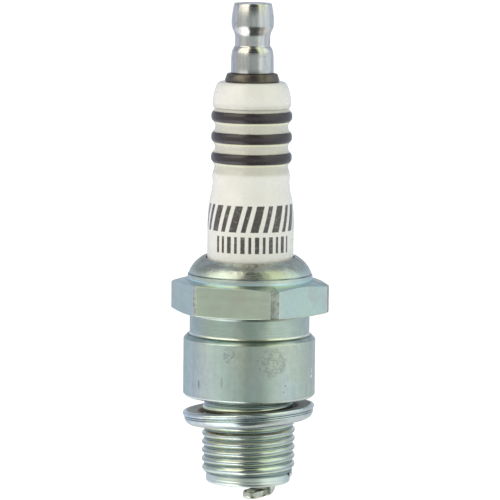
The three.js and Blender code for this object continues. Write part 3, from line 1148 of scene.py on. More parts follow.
@dataclass(frozen=True)
class GlazedCeramic:
    """Cream glaze with dark rings and two rows of plain printed bars."""

    name: str = "glazed cream ceramic"
    cream: Colour = (0.715, 0.695, 0.675)
    mottled: Colour = (0.68, 0.645, 0.62)
    # painted shade for the grooves between the ribs
    groove_shade: Colour = (0.40, 0.385, 0.32)
    olive: Colour = (0.74, 0.75, 0.50)
    ring: Colour = (0.034, 0.026, 0.031)
    ink: Colour = (0.06, 0.052, 0.05)
    crowns: tuple[float, ...] = (40.7, 37.7, 34.75)
    half_band: float = 0.76
    outer: float = 6.25
    wall: float = 5.3  # least radius that the bars are printed on

    def build(self) -> Material:
        """Builds the finish.

        Returns:
            The material.
        """
        coat = Coat(self.name, self.cream)
        graph, radius = coat.graph, coat.radius
        coat.tint(self.mottled, coat.cloud((0.5, 4.0, 0.6), 0.35, 0.7, 0.0, 0.22))
        # painted shade: the grooves between the ribs are tinted tan
        coat.tint(self.groove_shade, graph.until(radius, 5.45, 5.9), coat.band(32.4, 42.6, 0.3), 0.55)
        wavy = graph.plus(coat.height, graph.times(graph.noise(coat.spot, 0.9, 2.0), 0.08))
        bands = []
        for crown in self.crowns:
            low, high = crown - self.half_band, crown + self.half_band
            bands.append(coat.band(low + 0.04, high + 0.04, 0.07, wavy))
            coat.tint(self.olive, coat.band(low - 0.30, low - 0.02, 0.08), 0.6)
        rings = graph.times(graph.largest(*bands), graph.between(radius, 5.0, 5.1))
        rows = [
            self.bars(coat, -76.0, low=24.35, high=28.15, pitch=1.62, fill=0.36, variation=0.14,
                      slant=0.26, half_length=9.0),
            self.bars(coat, -74.0, low=21.3, high=23.7, pitch=1.05, fill=0.3, variation=0.1,
                      slant=0.0, half_length=5.9),
        ]
        wall = graph.between(radius, self.wall, self.wall + 0.2)
        coat.tint(self.ink, graph.largest(*rows), wall, coat.cloud((2.2, 3.0), 0.25, 0.5, 0.82, 1.0))
        coat.tint(self.ring, rings)
        coat.rough = coat.cloud((0.8, 3.0), 0.3, 0.7, 0.2, 0.3)
        graph.feed(coat.shader.inputs["Coat Weight"], graph.between(rings, 0.0, 1.0, 0.5, 0.12))
        graph.feed(coat.shader.inputs["Coat Roughness"], 0.08)
        coat.level = graph.noise(coat.spot, 0.35, 2.0)
        coat.emboss(rings, 0.25)
        return coat.finish(0.05)

    def bars(self, coat: Coat, azimuth: float, **sizes: float) -> Socket:
        """Prints a row of bars round the ceramic.

        Args:
            coat: Finish that they are printed on.
            azimuth: Degrees about Z of the middle of the row.
            **sizes: Inputs of the bar row.

        Returns:
            The mask of the bars.
        """
        return BarRow.place(
            coat.graph, turn=coat.turn, height=coat.height, radius=self.outer,
            centre_turn=azimuth / 360.0, **sizes,
        )


@dataclass(frozen=True)
class BareMetal:
    """Turned, drawn or fused metal with stains."""

    name: str
    colour: Colour
    stain: Colour
    roughness: float = 0.25
    stain_share: float = 0.4
    stain_scale: float = 0.6
    lines: float = 7.0
    depth: float = 0.01
    streaks: float = 0.0

    def build(self) -> Material:
        """Builds the finish.

        Returns:
            The material.
        """
        coat = Coat(self.name, self.colour)
        graph, spot = coat.graph, coat.spot
        rings = coat.lathe(self.lines, self.roughness)
        stained = coat.cloud((self.stain_scale, 4.0, 0.65, 0.4), 0.5, 0.68)
        pits = coat.specks(1.9, 0.16, 0.84)
        coat.tint(self.stain, stained, self.stain_share)
        coat.tint(self.stain, pits, 0.5)
        drawn = graph.stretch(spot, (1.0, 1.0, 0.05))
        coat.tint(self.stain, coat.cloud((1.6, 3.0), 0.45, 0.6, spot=drawn), self.streaks)
        bright = tuple(min(1.0, 1.25 * part) for part in self.colour)
        coat.tint(bright, EdgeWear.place(graph, vector=spot, start=0.53), 0.5)
        coat.roughen(stained, 0.1)
        coat.level = graph.less(graph.times(rings, 0.5), pits)
        return coat.finish(self.depth, 1.0)


@dataclass(frozen=True)
class MattFill:
    """Pressed or fused filling that isn't metal."""

    name: str
    colour: Colour
    fleck: Colour
    roughness: float = 0.8
    grain: float = 4.0

    def build(self) -> Material:
        """Builds the finish.

        Returns:
            The material.
        """
        coat = Coat(self.name, self.colour)
        graph = coat.graph
        grains = graph.noise(coat.spot, self.grain, 4.0, 0.7)
        flecks = coat.specks(self.grain, 0.3, 0.6)
        coat.tint(self.fleck, graph.largest(graph.between(grains, 0.45, 0.7, 0.0, 0.6), flecks))
        coat.rough = graph.between(grains, 0.2, 0.8, self.roughness - 0.1, self.roughness)
        coat.level = grains
        return coat.finish(0.03)


# ---- sub-assemblies --------------------------------------------------------------------------


@dataclass
class ThreadRidge:
    """Helical ridge whose foot is buried in its core."""

    core: float
    pitch: float
    low: float
    high: float
    section: tuple[Point, ...]
    fade: float = 0.7
    steps: int = 72

    def build(self) -> Mesh:
        """Spins the ridge's section up the helix and fades out both ends.

        Returns:
            A closed mesh in millimetres.
        """
        bm = bmesh.new()
        upper = [(self.core + out, half) for out, half in self.section]
        lower = [(r, -half) for r, half in reversed(upper) if half > 0.0]
        corners = [bm.verts.new((r, 0.0, self.low + half)) for r, half in upper + lower]
        cap = bm.faces.new(corners)
        turns = (self.high - self.low) / self.pitch
        count = round(turns * self.steps)
        bmesh.ops.spin(
            bm, geom=[cap, *cap.edges, *cap.verts], cent=(0, 0, 0), axis=(0, 0, 1),
            dvec=(0, 0, self.pitch / self.steps), angle=FULL_TURN * count / self.steps, steps=count,
            use_merge=False,
        )
        for vert in bm.verts:
            self.fade_end(vert, turns)
        bmesh.ops.recalc_face_normals(bm, faces=bm.faces)
        return bm

    def fade_end(self, vert: bmesh.types.BMVert, turns: float) -> None:
        """Sinks a point of the ridge's ends into the core.

        Args:
            vert: Point to move.
            turns: Length of the helix in turns.
        """
        radius = math.hypot(vert.co.x, vert.co.y)
        part = math.atan2(vert.co.y, vert.co.x) / FULL_TURN
        turn = round((vert.co.z - self.low) / self.pitch - part) + part
        near = max(0.0, min(turn, turns - turn) / self.fade)
        share = min(1.0, near) ** 0.6
        buried = self.core - 0.08
        grown = buried + (radius - buried) * share
        if radius > buried:
            vert.co.x *= grown / radius
            vert.co.y *= grown / radius


# how far each point of a ridge's upper half stands out from the core and above its middle
PLUG_SECTION: tuple[Point, ...] = (
    (-0.08, 0.60), (0.01, 0.55), (0.05, 0.47), (0.16, 0.34), (0.29, 0.21), (0.34, 0.12), (0.36, 0.0),
)
STUD_SECTION: tuple[Point, ...] = ((-0.05, 0.31), (0.04, 0.27), (0.38, 0.06), (0.41, 0.0))


@dataclass
class Hexagon:
    """Spanner hexagon with a turned cone on top and clipped corners."""

    across_flats: float = 20.8
    across_corners: float = 23.1
    low: float = 12.3
    high: float = 17.0
    cone_radius: float = 9.4
    cone_fall: float = 0.62
    foot_rise: float = 0.16
    full_corner: float = -120.0  # azimuth of the corner that the cone hardly cuts
    full_spread: float = 15.0
    sharper: tuple[Point, ...] = ((-120.0, 23.68), (-60.0, 23.25))  # azimuth and width across corners
    inner: float = 8.55
    flat_steps: int = 8
    corner_steps: int = 4

    def corner(self, azimuth: float) -> float:
        """Radius to which a corner is turned.

        Args:
            azimuth: Degrees about Z of the corner.

        Returns:
            The radius.
        """
        for at, across in self.sharper:
            if abs(math.remainder(azimuth - at, 360.0)) < 1.0:
                return across / 2.0
        return self.across_corners / 2.0

    def spokes(self) -> list[Point]:
        """Angle and radius of each point of the hexagon's outline.

        Returns:
            Angles in radians with the distance from the axis.
        """
        flat = self.across_flats / 2.0
        spokes = []
        for side in range(6):
            middle = 30.0 + 60.0 * side
            first = -math.acos(flat / self.corner(middle - 30.0))
            corner = self.corner(middle + 30.0)
            last = math.acos(flat / corner)
            for step in range(self.flat_steps + 1):
                off = first + (last - first) * step / self.flat_steps
                spokes.append((math.radians(middle) + off, flat / math.cos(off)))
            gap = math.pi / 3.0 - 2.0 * last
            for step in range(1, self.corner_steps):
                spokes.append((math.radians(middle) + last + gap * step / self.corner_steps, corner))
        return spokes

    def cone(self, radius: float, angle: float) -> float:
        """Height of the top cone.

        Args:
            radius: Distance from the axis.
            angle: Angle about the axis in radians.

        Returns:
            Height, with less of a fall at the full corner.
        """
        span = self.across_corners / 2.0 - self.cone_radius
        away = math.degrees(math.remainder(angle - math.radians(self.full_corner), FULL_TURN))
        spared = 0.85 * math.exp(-((away / self.full_spread) ** 2))
        return self.high - self.cone_fall * (1.0 - spared) * max(0.0, radius - self.cone_radius) / span

    def foot(self, radius: float) -> float:
        """Height of the underside's edge at a distance from the axis."""
        span = (self.across_corners - self.across_flats) / 2.0
        return self.low + self.foot_rise * (radius - self.across_flats / 2.0) / span

    def build(self) -> Mesh:
        """Lofts the hexagon from its rings.

        Returns:
            A closed mesh in millimetres.
        """
        spokes = self.spokes()
        levels = (
            lambda r, a: (self.inner, self.low),
            lambda r, a: (r - 0.12, self.foot(r)),
            lambda r, a: (r, self.foot(r) + 0.12),
            lambda r, a: (r, self.cone(r, a)),
            lambda r, a: (self.cone_radius, self.high),
            lambda r, a: (self.inner, self.high + 0.02),
        )
        bm = bmesh.new()
        first = bmesh.ops.create_circle(bm, cap_ends=False, radius=self.inner, segments=len(spokes))
        ring = first["verts"]
        self.place(ring, spokes, levels[0])
        edges = list(bm.edges)
        start = list(edges)
        for level in levels[1:]:
            grown = bmesh.ops.extrude_edge_only(bm, edges=edges)["geom"]
            edges = [item for item in grown if isinstance(item, bmesh.types.BMEdge)]
            ring = [item for item in grown if isinstance(item, bmesh.types.BMVert)]
            self.place(ring, spokes, level)
        bmesh.ops.bridge_loops(bm, edges=start + edges)
        tidy(bm)
        soften(bm, 0.09, 18.0, 2, lambda edge: min(v.co.to_2d().length for v in edge.verts) > 10.1)
        return bm

    @staticmethod
    def place(ring: list, spokes: list[Point], level: Callable[[float, float], Point]) -> None:
        """Moves one ring of points to its place.

        Args:
            ring: Points in the order in which the circle was made.
            spokes: Angle and outer radius for each point.
            level: Gives a point's radius and height from its outer radius and angle.
        """
        for vert, (angle, outer) in zip(ring, spokes):
            radius, height = level(outer, angle)
            vert.co = (radius * math.cos(angle), radius * math.sin(angle), height)


@dataclass
class Shell:
    """Plated steel shell: turned body, hexagon and plug thread."""

    facets: int = 144
    lip_start: float = 18.0
    lip_span: float = 2.2
    lip_drop: float = 0.42
    hexagon: Hexagon = field(default_factory=Hexagon)
    thread: ThreadRidge = field(
        default_factory=lambda: ThreadRidge(6.42, 1.25, -11.25, -1.15, PLUG_SECTION)
    )

    def outline(self) -> Outline:
        """Half section of the turned body, outside and bore.

        Returns:
            The closed outline.
        """
        outer = Outline().to((5.75, -12.7)).curve((6.08, -12.64), (6.12, -12.3), 6)
        outer.to((6.13, -12.02), (6.09, -11.98), (6.13, -11.94), (6.13, -11.66))
        outer.to((5.98, -11.2), (6.12, -11.12))
        outer.to((6.42, -10.98), (6.42, -1.4), (6.47, -1.3), (6.47, -0.95))
        outer.to((6.36, -0.85), (6.36, -0.72), (6.47, -0.62), (6.47, 0.0), (9.24, 0.0), (9.32, 0.06))
        outer.to((9.58, 0.36), (9.58, 8.38), (9.50, 8.52), (9.02, 8.98))
        outer.curve((8.72, 9.02), (8.70, 9.40), 6)
        outer.to((8.70, 11.7)).curve((8.72, 12.2), (9.10, 12.26), 5)
        outer.to((9.10, 16.75)).curve((9.05, 17.1), (9.06, 17.3), 4)
        outer.to((9.05, 17.74), (8.92, 17.82), (8.93, 17.90), (8.90, 17.98))
        outer.curve((8.30, 19.50), (6.85, 20.34), 14).curve((6.5, 20.50), (6.42, 20.1), 5)
        outer.to((6.42, 19.5)).curve((7.6, 18.9), (7.75, 17.75), 6)
        outer.to((7.75, 3.6), (4.75, 1.9), (4.75, -2.52), (3.95, -3.18), (3.95, -4.6), (4.9, -5.4))
        return outer.to((4.9, -12.7))

    def roll_lip(self, vert: bmesh.types.BMVert) -> None:
        """Rolls the crimped lip deeper on the side where the tool pressed harder.

        Args:
            vert: Point of the body to move.
        """
        reach = vert.co.to_2d().length
        if vert.co.z > self.lip_start and reach > 1.0:
            share = min(1.0, (vert.co.z - self.lip_start) / self.lip_span) ** 2
            vert.co.z -= self.lip_drop * share * max(0.0, -vert.co.y / reach)

    def build(self, body: Material, hexed: Material, cut: Material) -> None:
        """Builds and dresses the three pieces.

        Args:
            body: Finish of the turned body.
            hexed: Finish of the hexagon.
            cut: Finish of the thread.
        """
        core = turned(self.outline(), self.facets)
        for vert in core.verts:
            self.roll_lip(vert)
        soften(core, 0.07, 24.0, 2)
        finish_piece(core, "shell_turned_body", Body.PLUG, body, ("shell",))
        finish_piece(self.hexagon.build(), "shell_hexagon", Body.PLUG, hexed)
        finish_piece(self.thread.build(), "shell_thread", Body.PLUG, cut)


@dataclass
class Insulator:
    """Ribbed ceramic insulator with its stem, nose and bore."""

    facets: int = 128
    ribs: tuple[Point, ...] = ((34.75, 5.86), (37.7, 5.86), (40.7, 5.87))
    half_band: float = 0.75
    groove: float = 5.27
    top: float = 45.65

    def outline(self) -> Outline:
        """Half section of the insulator.

        Returns:
            The closed outline.
        """
        path = Outline().to((1.3, -12.2), (1.9, -12.2)).curve((2.2, -12.2), (2.22, -11.9), 4)
        path.to((3.5, -2.9), (4.6, -2.0), (4.6, 2.6), (7.35, 4.4), (7.35, 10.1), (6.25, 11.3))
        path.to((6.25, 25.2)).curve((6.2, 28.0), (5.8, 29.4), 12)
        path.curve((5.52, 30.6), (5.58, 31.3), 8).curve((5.7, 32.1), (5.5, 32.7), 6)
        for crown, radius in self.ribs:
            self.add_rib(path, crown, radius)
        path.to((5.50, 41.9)).curve((5.66, 42.2), (5.69, 42.7), 4)
        path.curve((5.58, 44.2), (5.14, 45.1), 8).curve((4.9, self.top), (4.5, self.top), 6)
        return path.to((1.9, self.top), (1.9, 0.0), (1.3, 0.0))

    def add_rib(self, path: Outline, crown: float, radius: float) -> None:
        """Adds one rib and the grooves beside it.

        Args:
            path: Outline to extend.
            crown: Height of the rib's crown.
            radius: Radius of its crown.
        """
        low, high = crown - self.half_band, crown + self.half_band
        path.curve((self.groove, low - 0.70), (self.groove + 0.06, low - 0.40), 4)
        path.to((radius - 0.36, low - 0.06))
        path.curve((radius - 0.10, low + 0.16), (radius - 0.03, low + 0.46), 6)
        path.curve((radius, crown), (radius - 0.03, high - 0.46), 4)
        path.curve((radius - 0.10, high - 0.16), (radius - 0.36, high + 0.06), 6)
        path.to((self.groove + 0.06, high + 0.40))
        path.curve((self.groove, high + 0.6), (self.groove, high + 0.7), 4)

    def build(self, glaze: Material) -> None:
        """Builds and dresses the insulator.

        Args:
            glaze: Finish of the ceramic.
        """
        bm = turned(self.outline(), self.facets)
        soften(bm, 0.1, 30.0, 2)
        finish_piece(bm, "insulator_glazed", Body.PLUG, glaze, ("insulator",))


@dataclass
class Terminal:
    """Lift-off terminal nut over the threaded stud and its seating flange."""

    facets: int = 96
    top: float = 57.0
    bottom: float = 46.9
    base: float = 3.1
    neck: float = 2.62
    bulge: float = 3.06
    bore: float = 2.1
    ridge: ThreadRidge = field(
        default_factory=lambda: ThreadRidge(1.56, 0.7, 47.4, 54.4, STUD_SECTION, 0.5, 36)
    )

    def nut_outline(self) -> Outline:
        """Half section of the nut with its blind bore.

        Returns:
            The closed outline.
        """
        path = Outline().to((0.0, 55.0), (self.bore, 54.8), (self.bore, self.bottom + 0.3))
        path.to((self.bore + 0.3, self.bottom), (self.base, self.bottom), (3.08, 48.6))
        path.curve((3.06, 49.9), (2.88, 50.3), 8).curve((2.72, 50.66), (self.neck, 50.72), 6)
        path.curve((2.53, 50.76), (2.53, 51.0), 3).to((2.53, 51.9))
        path.sweep((2.53, 53.1), (self.bulge, 53.0), (self.bulge, 54.15), 14)
        path.curve((self.bulge, 55.3), (2.74, 56.8), 10)
        path.curve((2.70, self.top), (2.50, self.top), 4)
        return path.to((1.9, self.top), (1.78, self.top - 0.08), (0.0, self.top - 0.08))

    def stud_outline(self) -> Outline:
        """Half section of the stud: foot rings, shank, flange and threaded end.

        Returns:
            The closed outline.
        """
        path = Outline().to((0.0, 15.8), (1.2, 15.8), (1.4, 16.0))
        for height in (16.4, 17.2, 18.0):
            path.to((1.4, height), (1.15, height + 0.2), (1.15, height + 0.45), (1.4, height + 0.6))
        path.to((1.7, 19.0), (1.7, 45.7), (3.84, 45.7)).curve((3.96, 45.74), (3.93, 45.92), 4)
        path.to((3.70, 46.62)).curve((3.64, 46.84), (3.44, 46.86), 4)
        return path.to((1.75, 46.85), (1.56, 47.0), (1.56, 54.3), (1.3, 54.6), (0.0, 54.6))

    def build(self, steel: Material, dark: Material) -> None:
        """Builds and dresses the nut and the stud.

        Args:
            steel: Finish of the nut.
            dark: Finish of the stud.
        """
        nut = turned(self.nut_outline(), self.facets)
        soften(nut, 0.06, 30.0, 2)
        finish_piece(nut, "terminal_nut_turned", Body.NUT, steel, ("terminal_nut",))
        stud = turned(self.stud_outline(), self.facets)
        soften(stud, 0.04, 30.0, 1)
        finish_piece(stud, "terminal_stud_turned", Body.PLUG, dark, ("terminal_stud",))
        finish_piece(self.ridge.build(), "terminal_stud_thread", Body.PLUG, dark)


@dataclass
class Gasket:
    """Loose folded gasket, tipped to one side on the thread."""

    facets: int = 144
    rise: float = 0.85
    foot: float = 1.3
    centre: float = -2.52
    tilt: float = 4.15
    low_side: float = 172.3

    def outline(self) -> Outline:
        """Half section of the folded sheet, about its own middle plane.

        Returns:
            The closed outline.
        """
        path = Outline().to((7.22, 0.45), (7.2, -1.0)).curve((7.22, -self.foot), (7.6, -self.foot), 5)
        path.to((8.1, -self.foot)).curve((8.78, -1.28), (9.12, -0.86), 8)
        path.curve((9.38, -0.5), (9.40, -0.26), 6)
        path.curve((9.36, -0.17), (9.12, -0.14), 4).curve((9.42, -0.12), (9.44, -0.02), 4)
        path.curve((9.43, 0.08), (9.14, 0.12), 4).curve((9.56, 0.16), (9.6, 0.42), 6)
        path.curve((9.6, self.rise), (9.15, self.rise), 7).to((8.95, self.rise))
        return path.curve((8.2, 0.66), (7.6, 0.70), 6).curve((7.28, 0.70), (7.24, 0.52), 4)

    def build(self, plate: Material) -> None:
        """Builds, tips and dresses the gasket.

        Args:
            plate: Finish of the gasket.
        """
        bm = turned(self.outline(), self.facets)
        low = math.radians(self.low_side)
        hinge = Vector((-math.sin(low), math.cos(low), 0.0))
        tip = Matrix.Rotation(math.radians(self.tilt), 3, hinge)
        bmesh.ops.rotate(bm, cent=(0, 0, 0), matrix=tip, verts=bm.verts)
        bmesh.ops.translate(bm, vec=(0, 0, self.centre), verts=bm.verts)
        finish_piece(bm, "gasket_folded", Body.RING, plate, ("gasket",))


@dataclass
class FiringEnd:
    """Centre electrode with its fine tip, and the bent side electrode."""

    facets: int = 64
    strap_width: float = 2.4
    strap_thickness: float = 1.3
    leg_radius: float = 5.52
    leg_top: float = -12.95
    strap_bottom: float = -15.4
    inner_bend: float = 0.5
    overshoot: float = 0.2
    azimuth: float = 70.0
    pad_size: Triple = (0.62, 1.28, 0.14)
    pad_height: float = -12.82

    def electrode(self) -> Mesh:
        """Rod with a stepped end, hollow for the core.

        Returns:
            A closed mesh in millimetres.
        """
        path = Outline().to((0.0, -10.9), (0.0, -12.75), (0.7, -12.75)).curve((1.1, -12.6), (1.2, -12.2), 5)
        path.to((1.2, 0.05), (1.75, 0.05), (1.75, 1.7), (1.45, 2.0), (0.65, 2.0), (0.65, -10.6))
        bm = turned(path, self.facets)
        soften(bm, 0.04, 30.0, 1)
        return bm

    def bead(self) -> Mesh:
        """Weld bead round the fine wire.

        Returns:
            A closed mesh in millimetres.
        """
        path = Outline().to((0.3, -12.96)).curve((0.46, -12.98), (0.54, -12.9), 4)
        path.curve((0.64, -12.84), (0.66, -12.76), 4)
        return turned(path.to((0.3, -12.76)), self.facets)

    def wire(self) -> Mesh:
        """Fine wire at the electrode's end.

        Returns:
            A closed mesh in millimetres.
        """
        bm = turned(Outline().to((0.0, -13.1), (0.3, -13.1), (0.3, -12.78), (0.0, -12.78)), self.facets)
        soften(bm, 0.03, 40.0, 2)
        return bm

    def strap(self) -> Mesh:
        """Flat strap: leg, bend and arm, from one section.

        Returns:
            A closed mesh in millimetres.
        """
        bm = bmesh.new()
        inside = self.leg_radius - self.strap_thickness / 2.0
        outside = inside + self.strap_thickness
        half = self.strap_width / 2.0
        corners = ((inside, -half), (outside, -half), (outside, half), (inside, half))
        cap = bm.faces.new([bm.verts.new((x, y, self.leg_top)) for x, y in corners])
        arm_top = self.strap_bottom + self.strap_thickness
        leg = self.leg_top - arm_top - self.inner_bend
        face = self.pull(bm, cap, Vector((0, 0, -leg)))
        spun = bmesh.ops.spin(
            bm, geom=[face, *face.edges, *face.verts],
            cent=(inside - self.inner_bend, 0.0, arm_top + self.inner_bend), axis=(0, 1, 0),
            angle=math.pi / 2.0, steps=10, use_merge=False,
        )
        face = next(item for item in spun["geom_last"] if isinstance(item, bmesh.types.BMFace))
        reach = inside - self.inner_bend + self.overshoot
        self.pull(bm, face, Vector((-reach, 0, 0)))
        tidy(bm)
        ends = [
            edge
            for edge in bm.edges
            if all(abs(vert.co.x + self.overshoot) < 0.01 for vert in edge.verts)
            and abs(edge.verts[0].co.y - edge.verts[1].co.y) < 0.01
        ]
        bmesh.ops.bevel(
            bm, geom=ends, offset=1.1, offset_type="OFFSET", segments=6, profile=0.5, affect="EDGES",
            clamp_overlap=True, material=-1,
        )
        soften(bm, 0.46, 40.0, 5)
        return self.swing(bm)

    def swing(self, bm: Mesh) -> Mesh:
        """Turns a mesh from the X axis to the strap's side.

        Args:
            bm: Mesh to turn.

        Returns:
            The same mesh.
        """
        turn = Matrix.Rotation(math.radians(self.azimuth), 3, "Z")
        bmesh.ops.rotate(bm, cent=(0, 0, 0), matrix=turn, verts=bm.verts)
        return bm

    @staticmethod
    def pull(bm: Mesh, face: bmesh.types.BMFace, step: Vector) -> bmesh.types.BMFace:
        """Extrudes a face.

        Args:
            bm: Mesh that it is in.
            face: Face to extrude.
            step: Move of the new face.

        Returns:
            The new face.
        """
        grown = bmesh.ops.extrude_face_region(bm, geom=[face])["geom"]
        moved = [item for item in grown if isinstance(item, bmesh.types.BMVert)]
        bmesh.ops.translate(bm, vec=step, verts=moved)
        return next(item for item in grown if isinstance(item, bmesh.types.BMFace))

    def pad(self) -> Mesh:
        """Flattened weld bead between the rim and the strap's leg.

        Returns:
            A closed mesh in millimetres.
        """
        bm = bmesh.new()
        bmesh.ops.create_uvsphere(bm, u_segments=40, v_segments=12, radius=1.0)
        bmesh.ops.scale(bm, vec=self.pad_size, verts=bm.verts)
        bmesh.ops.translate(bm, vec=(self.leg_radius, 0, self.pad_height), verts=bm.verts)
        return self.swing(bm)

    def build(self, nickel: Material, wire: Material, weld: Material) -> None:
        """Builds and dresses the firing end.

        Args:
            nickel: Finish of the rod and strap.
            wire: Finish of the fine tip.
            weld: Finish of the weld beads.
        """
        pieces = (
            (self.electrode(), "centre_electrode_rod", Slot.NICKEL, nickel, "centre_electrode"),
            (self.bead(), "tip_weld_bead", Slot.WELD, weld, "tip_weld"),
            (self.wire(), "electrode_fine_wire", Slot.WIRE, wire, "electrode_tip"),
            (self.strap(), "ground_electrode_strap", Slot.NICKEL, nickel, "ground_electrode"),
            (self.pad(), "ground_weld_bead", Slot.WELD, weld, "ground_weld"),
        )
        for bm, name, slot, material, node in pieces:
            finish_piece(bm, name, Body.PLUG, material, (node,))


@dataclass
class Internals:
    """Hidden parts of the frame that keep their own meshes."""

    def dress(self) -> None:
        """Gives each carried-over node its finish."""
        glass = MattFill("copper-filled seal glass", (0.10, 0.12, 0.11), (0.42, 0.25, 0.17), 0.4, 5.0)
        carbon = MattFill("carbon resistor compound", (0.03, 0.03, 0.032), (0.12, 0.12, 0.12), 0.75, 6.0)
        talc = MattFill("pressed talc", (0.70, 0.67, 0.58), (0.55, 0.52, 0.45), 0.95, 3.0)
        copper = BareMetal("drawn copper", (0.75, 0.40, 0.28), (0.35, 0.18, 0.12))
        packing = BareMetal("plain packing steel", (0.50, 0.51, 0.51), (0.25, 0.22, 0.19))
        finishes = (
            (glass, ("upper_glass_seal", "lower_glass_seal")),
            (carbon, ("resistor",)),
            (talc, ("talc_filling",)),
            (copper, ("copper_core",)),
            (packing, ("upper_packing_ring", "lower_packing_ring", "insulator_seat_washer")),
        )
        for finish, names in finishes:
            material = finish.build()
            for name in names:
                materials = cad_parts[name].data.materials
                materials.clear()
                materials.append(material)
                log.info("node %s dressed in %s", name, material.name)


# ---- studio ----------------------------------------------------------------------------------


SURROUND_GAIN = 2.0
# degrees from the camera's side, to its right, and the colour there: level, above and below the plug
SURROUND_LEVEL = (
    (-180.0, (0.29, 0.31, 0.36)), (-144.0, (0.28, 0.31, 0.37)), (-105.0, (0.30, 0.32, 0.38)),
    (-80.0, (0.31, 0.325, 0.31)), (-50.0, (0.31, 0.33, 0.32)), (-24.0, (0.24, 0.25, 0.24)),
    (0.0, (0.21, 0.24, 0.24)), (24.0, (0.25, 0.28, 0.27)), (50.0, (0.46, 0.50, 0.50)),
    (96.0, (0.37, 0.41, 0.44)), (140.0, (0.28, 0.31, 0.36)), (180.0, (0.29, 0.31, 0.36)),
)
SURROUND_UPPER = (
    (-180.0, (0.22, 0.24, 0.28)), (-125.0, (0.20, 0.22, 0.25)), (-98.0, (0.26, 0.28, 0.30)),
    (-84.0, (0.84, 0.82, 0.70)), (-30.0, (0.96, 0.93, 0.74)), (-20.0, (0.06, 0.06, 0.055)),
    (0.0, (0.025, 0.03, 0.03)), (28.0, (0.04, 0.05, 0.04)), (44.0, (0.52, 0.56, 0.38)),
    (75.0, (0.58, 0.62, 0.48)), (108.0, (0.46, 0.50, 0.50)), (122.0, (0.24, 0.28, 0.32)),
    (180.0, (0.22, 0.24, 0.28)),
)
SURROUND_LOWER = (
    (-180.0, (0.36, 0.38, 0.42)), (-120.0, (0.47, 0.48, 0.52)), (-60.0, (0.92, 0.93, 0.94)),
    (-34.0, (0.78, 0.80, 0.80)), (-18.0, (0.05, 0.06, 0.06)), (34.0, (0.05, 0.055, 0.05)),
    (62.0, (0.26, 0.25, 0.22)), (100.0, (0.40, 0.41, 0.40)), (180.0, (0.36, 0.38, 0.42)),
)


def away(azimuth: float, elevation: float) -> Vector:
    """Direction away from the plug.

    Args:
        azimuth: Degrees about Z from +X.
        elevation: Degrees above the horizon.

    Returns:
        A vector of length 1.
    """
    around, up = math.radians(azimuth), math.radians(elevation)
    return Vector((math.cos(around) * math.cos(up), math.sin(around) * math.cos(up), math.sin(up)))


@dataclass(frozen=True)
class Lamp:
    """Soft square lamp that points at the plug, seen from the camera's side."""

    name: str
    azimuth: float
    elevation: float
    watts: float
    tint: Colour
    size: float = 420.0
    distance: float = 700.0


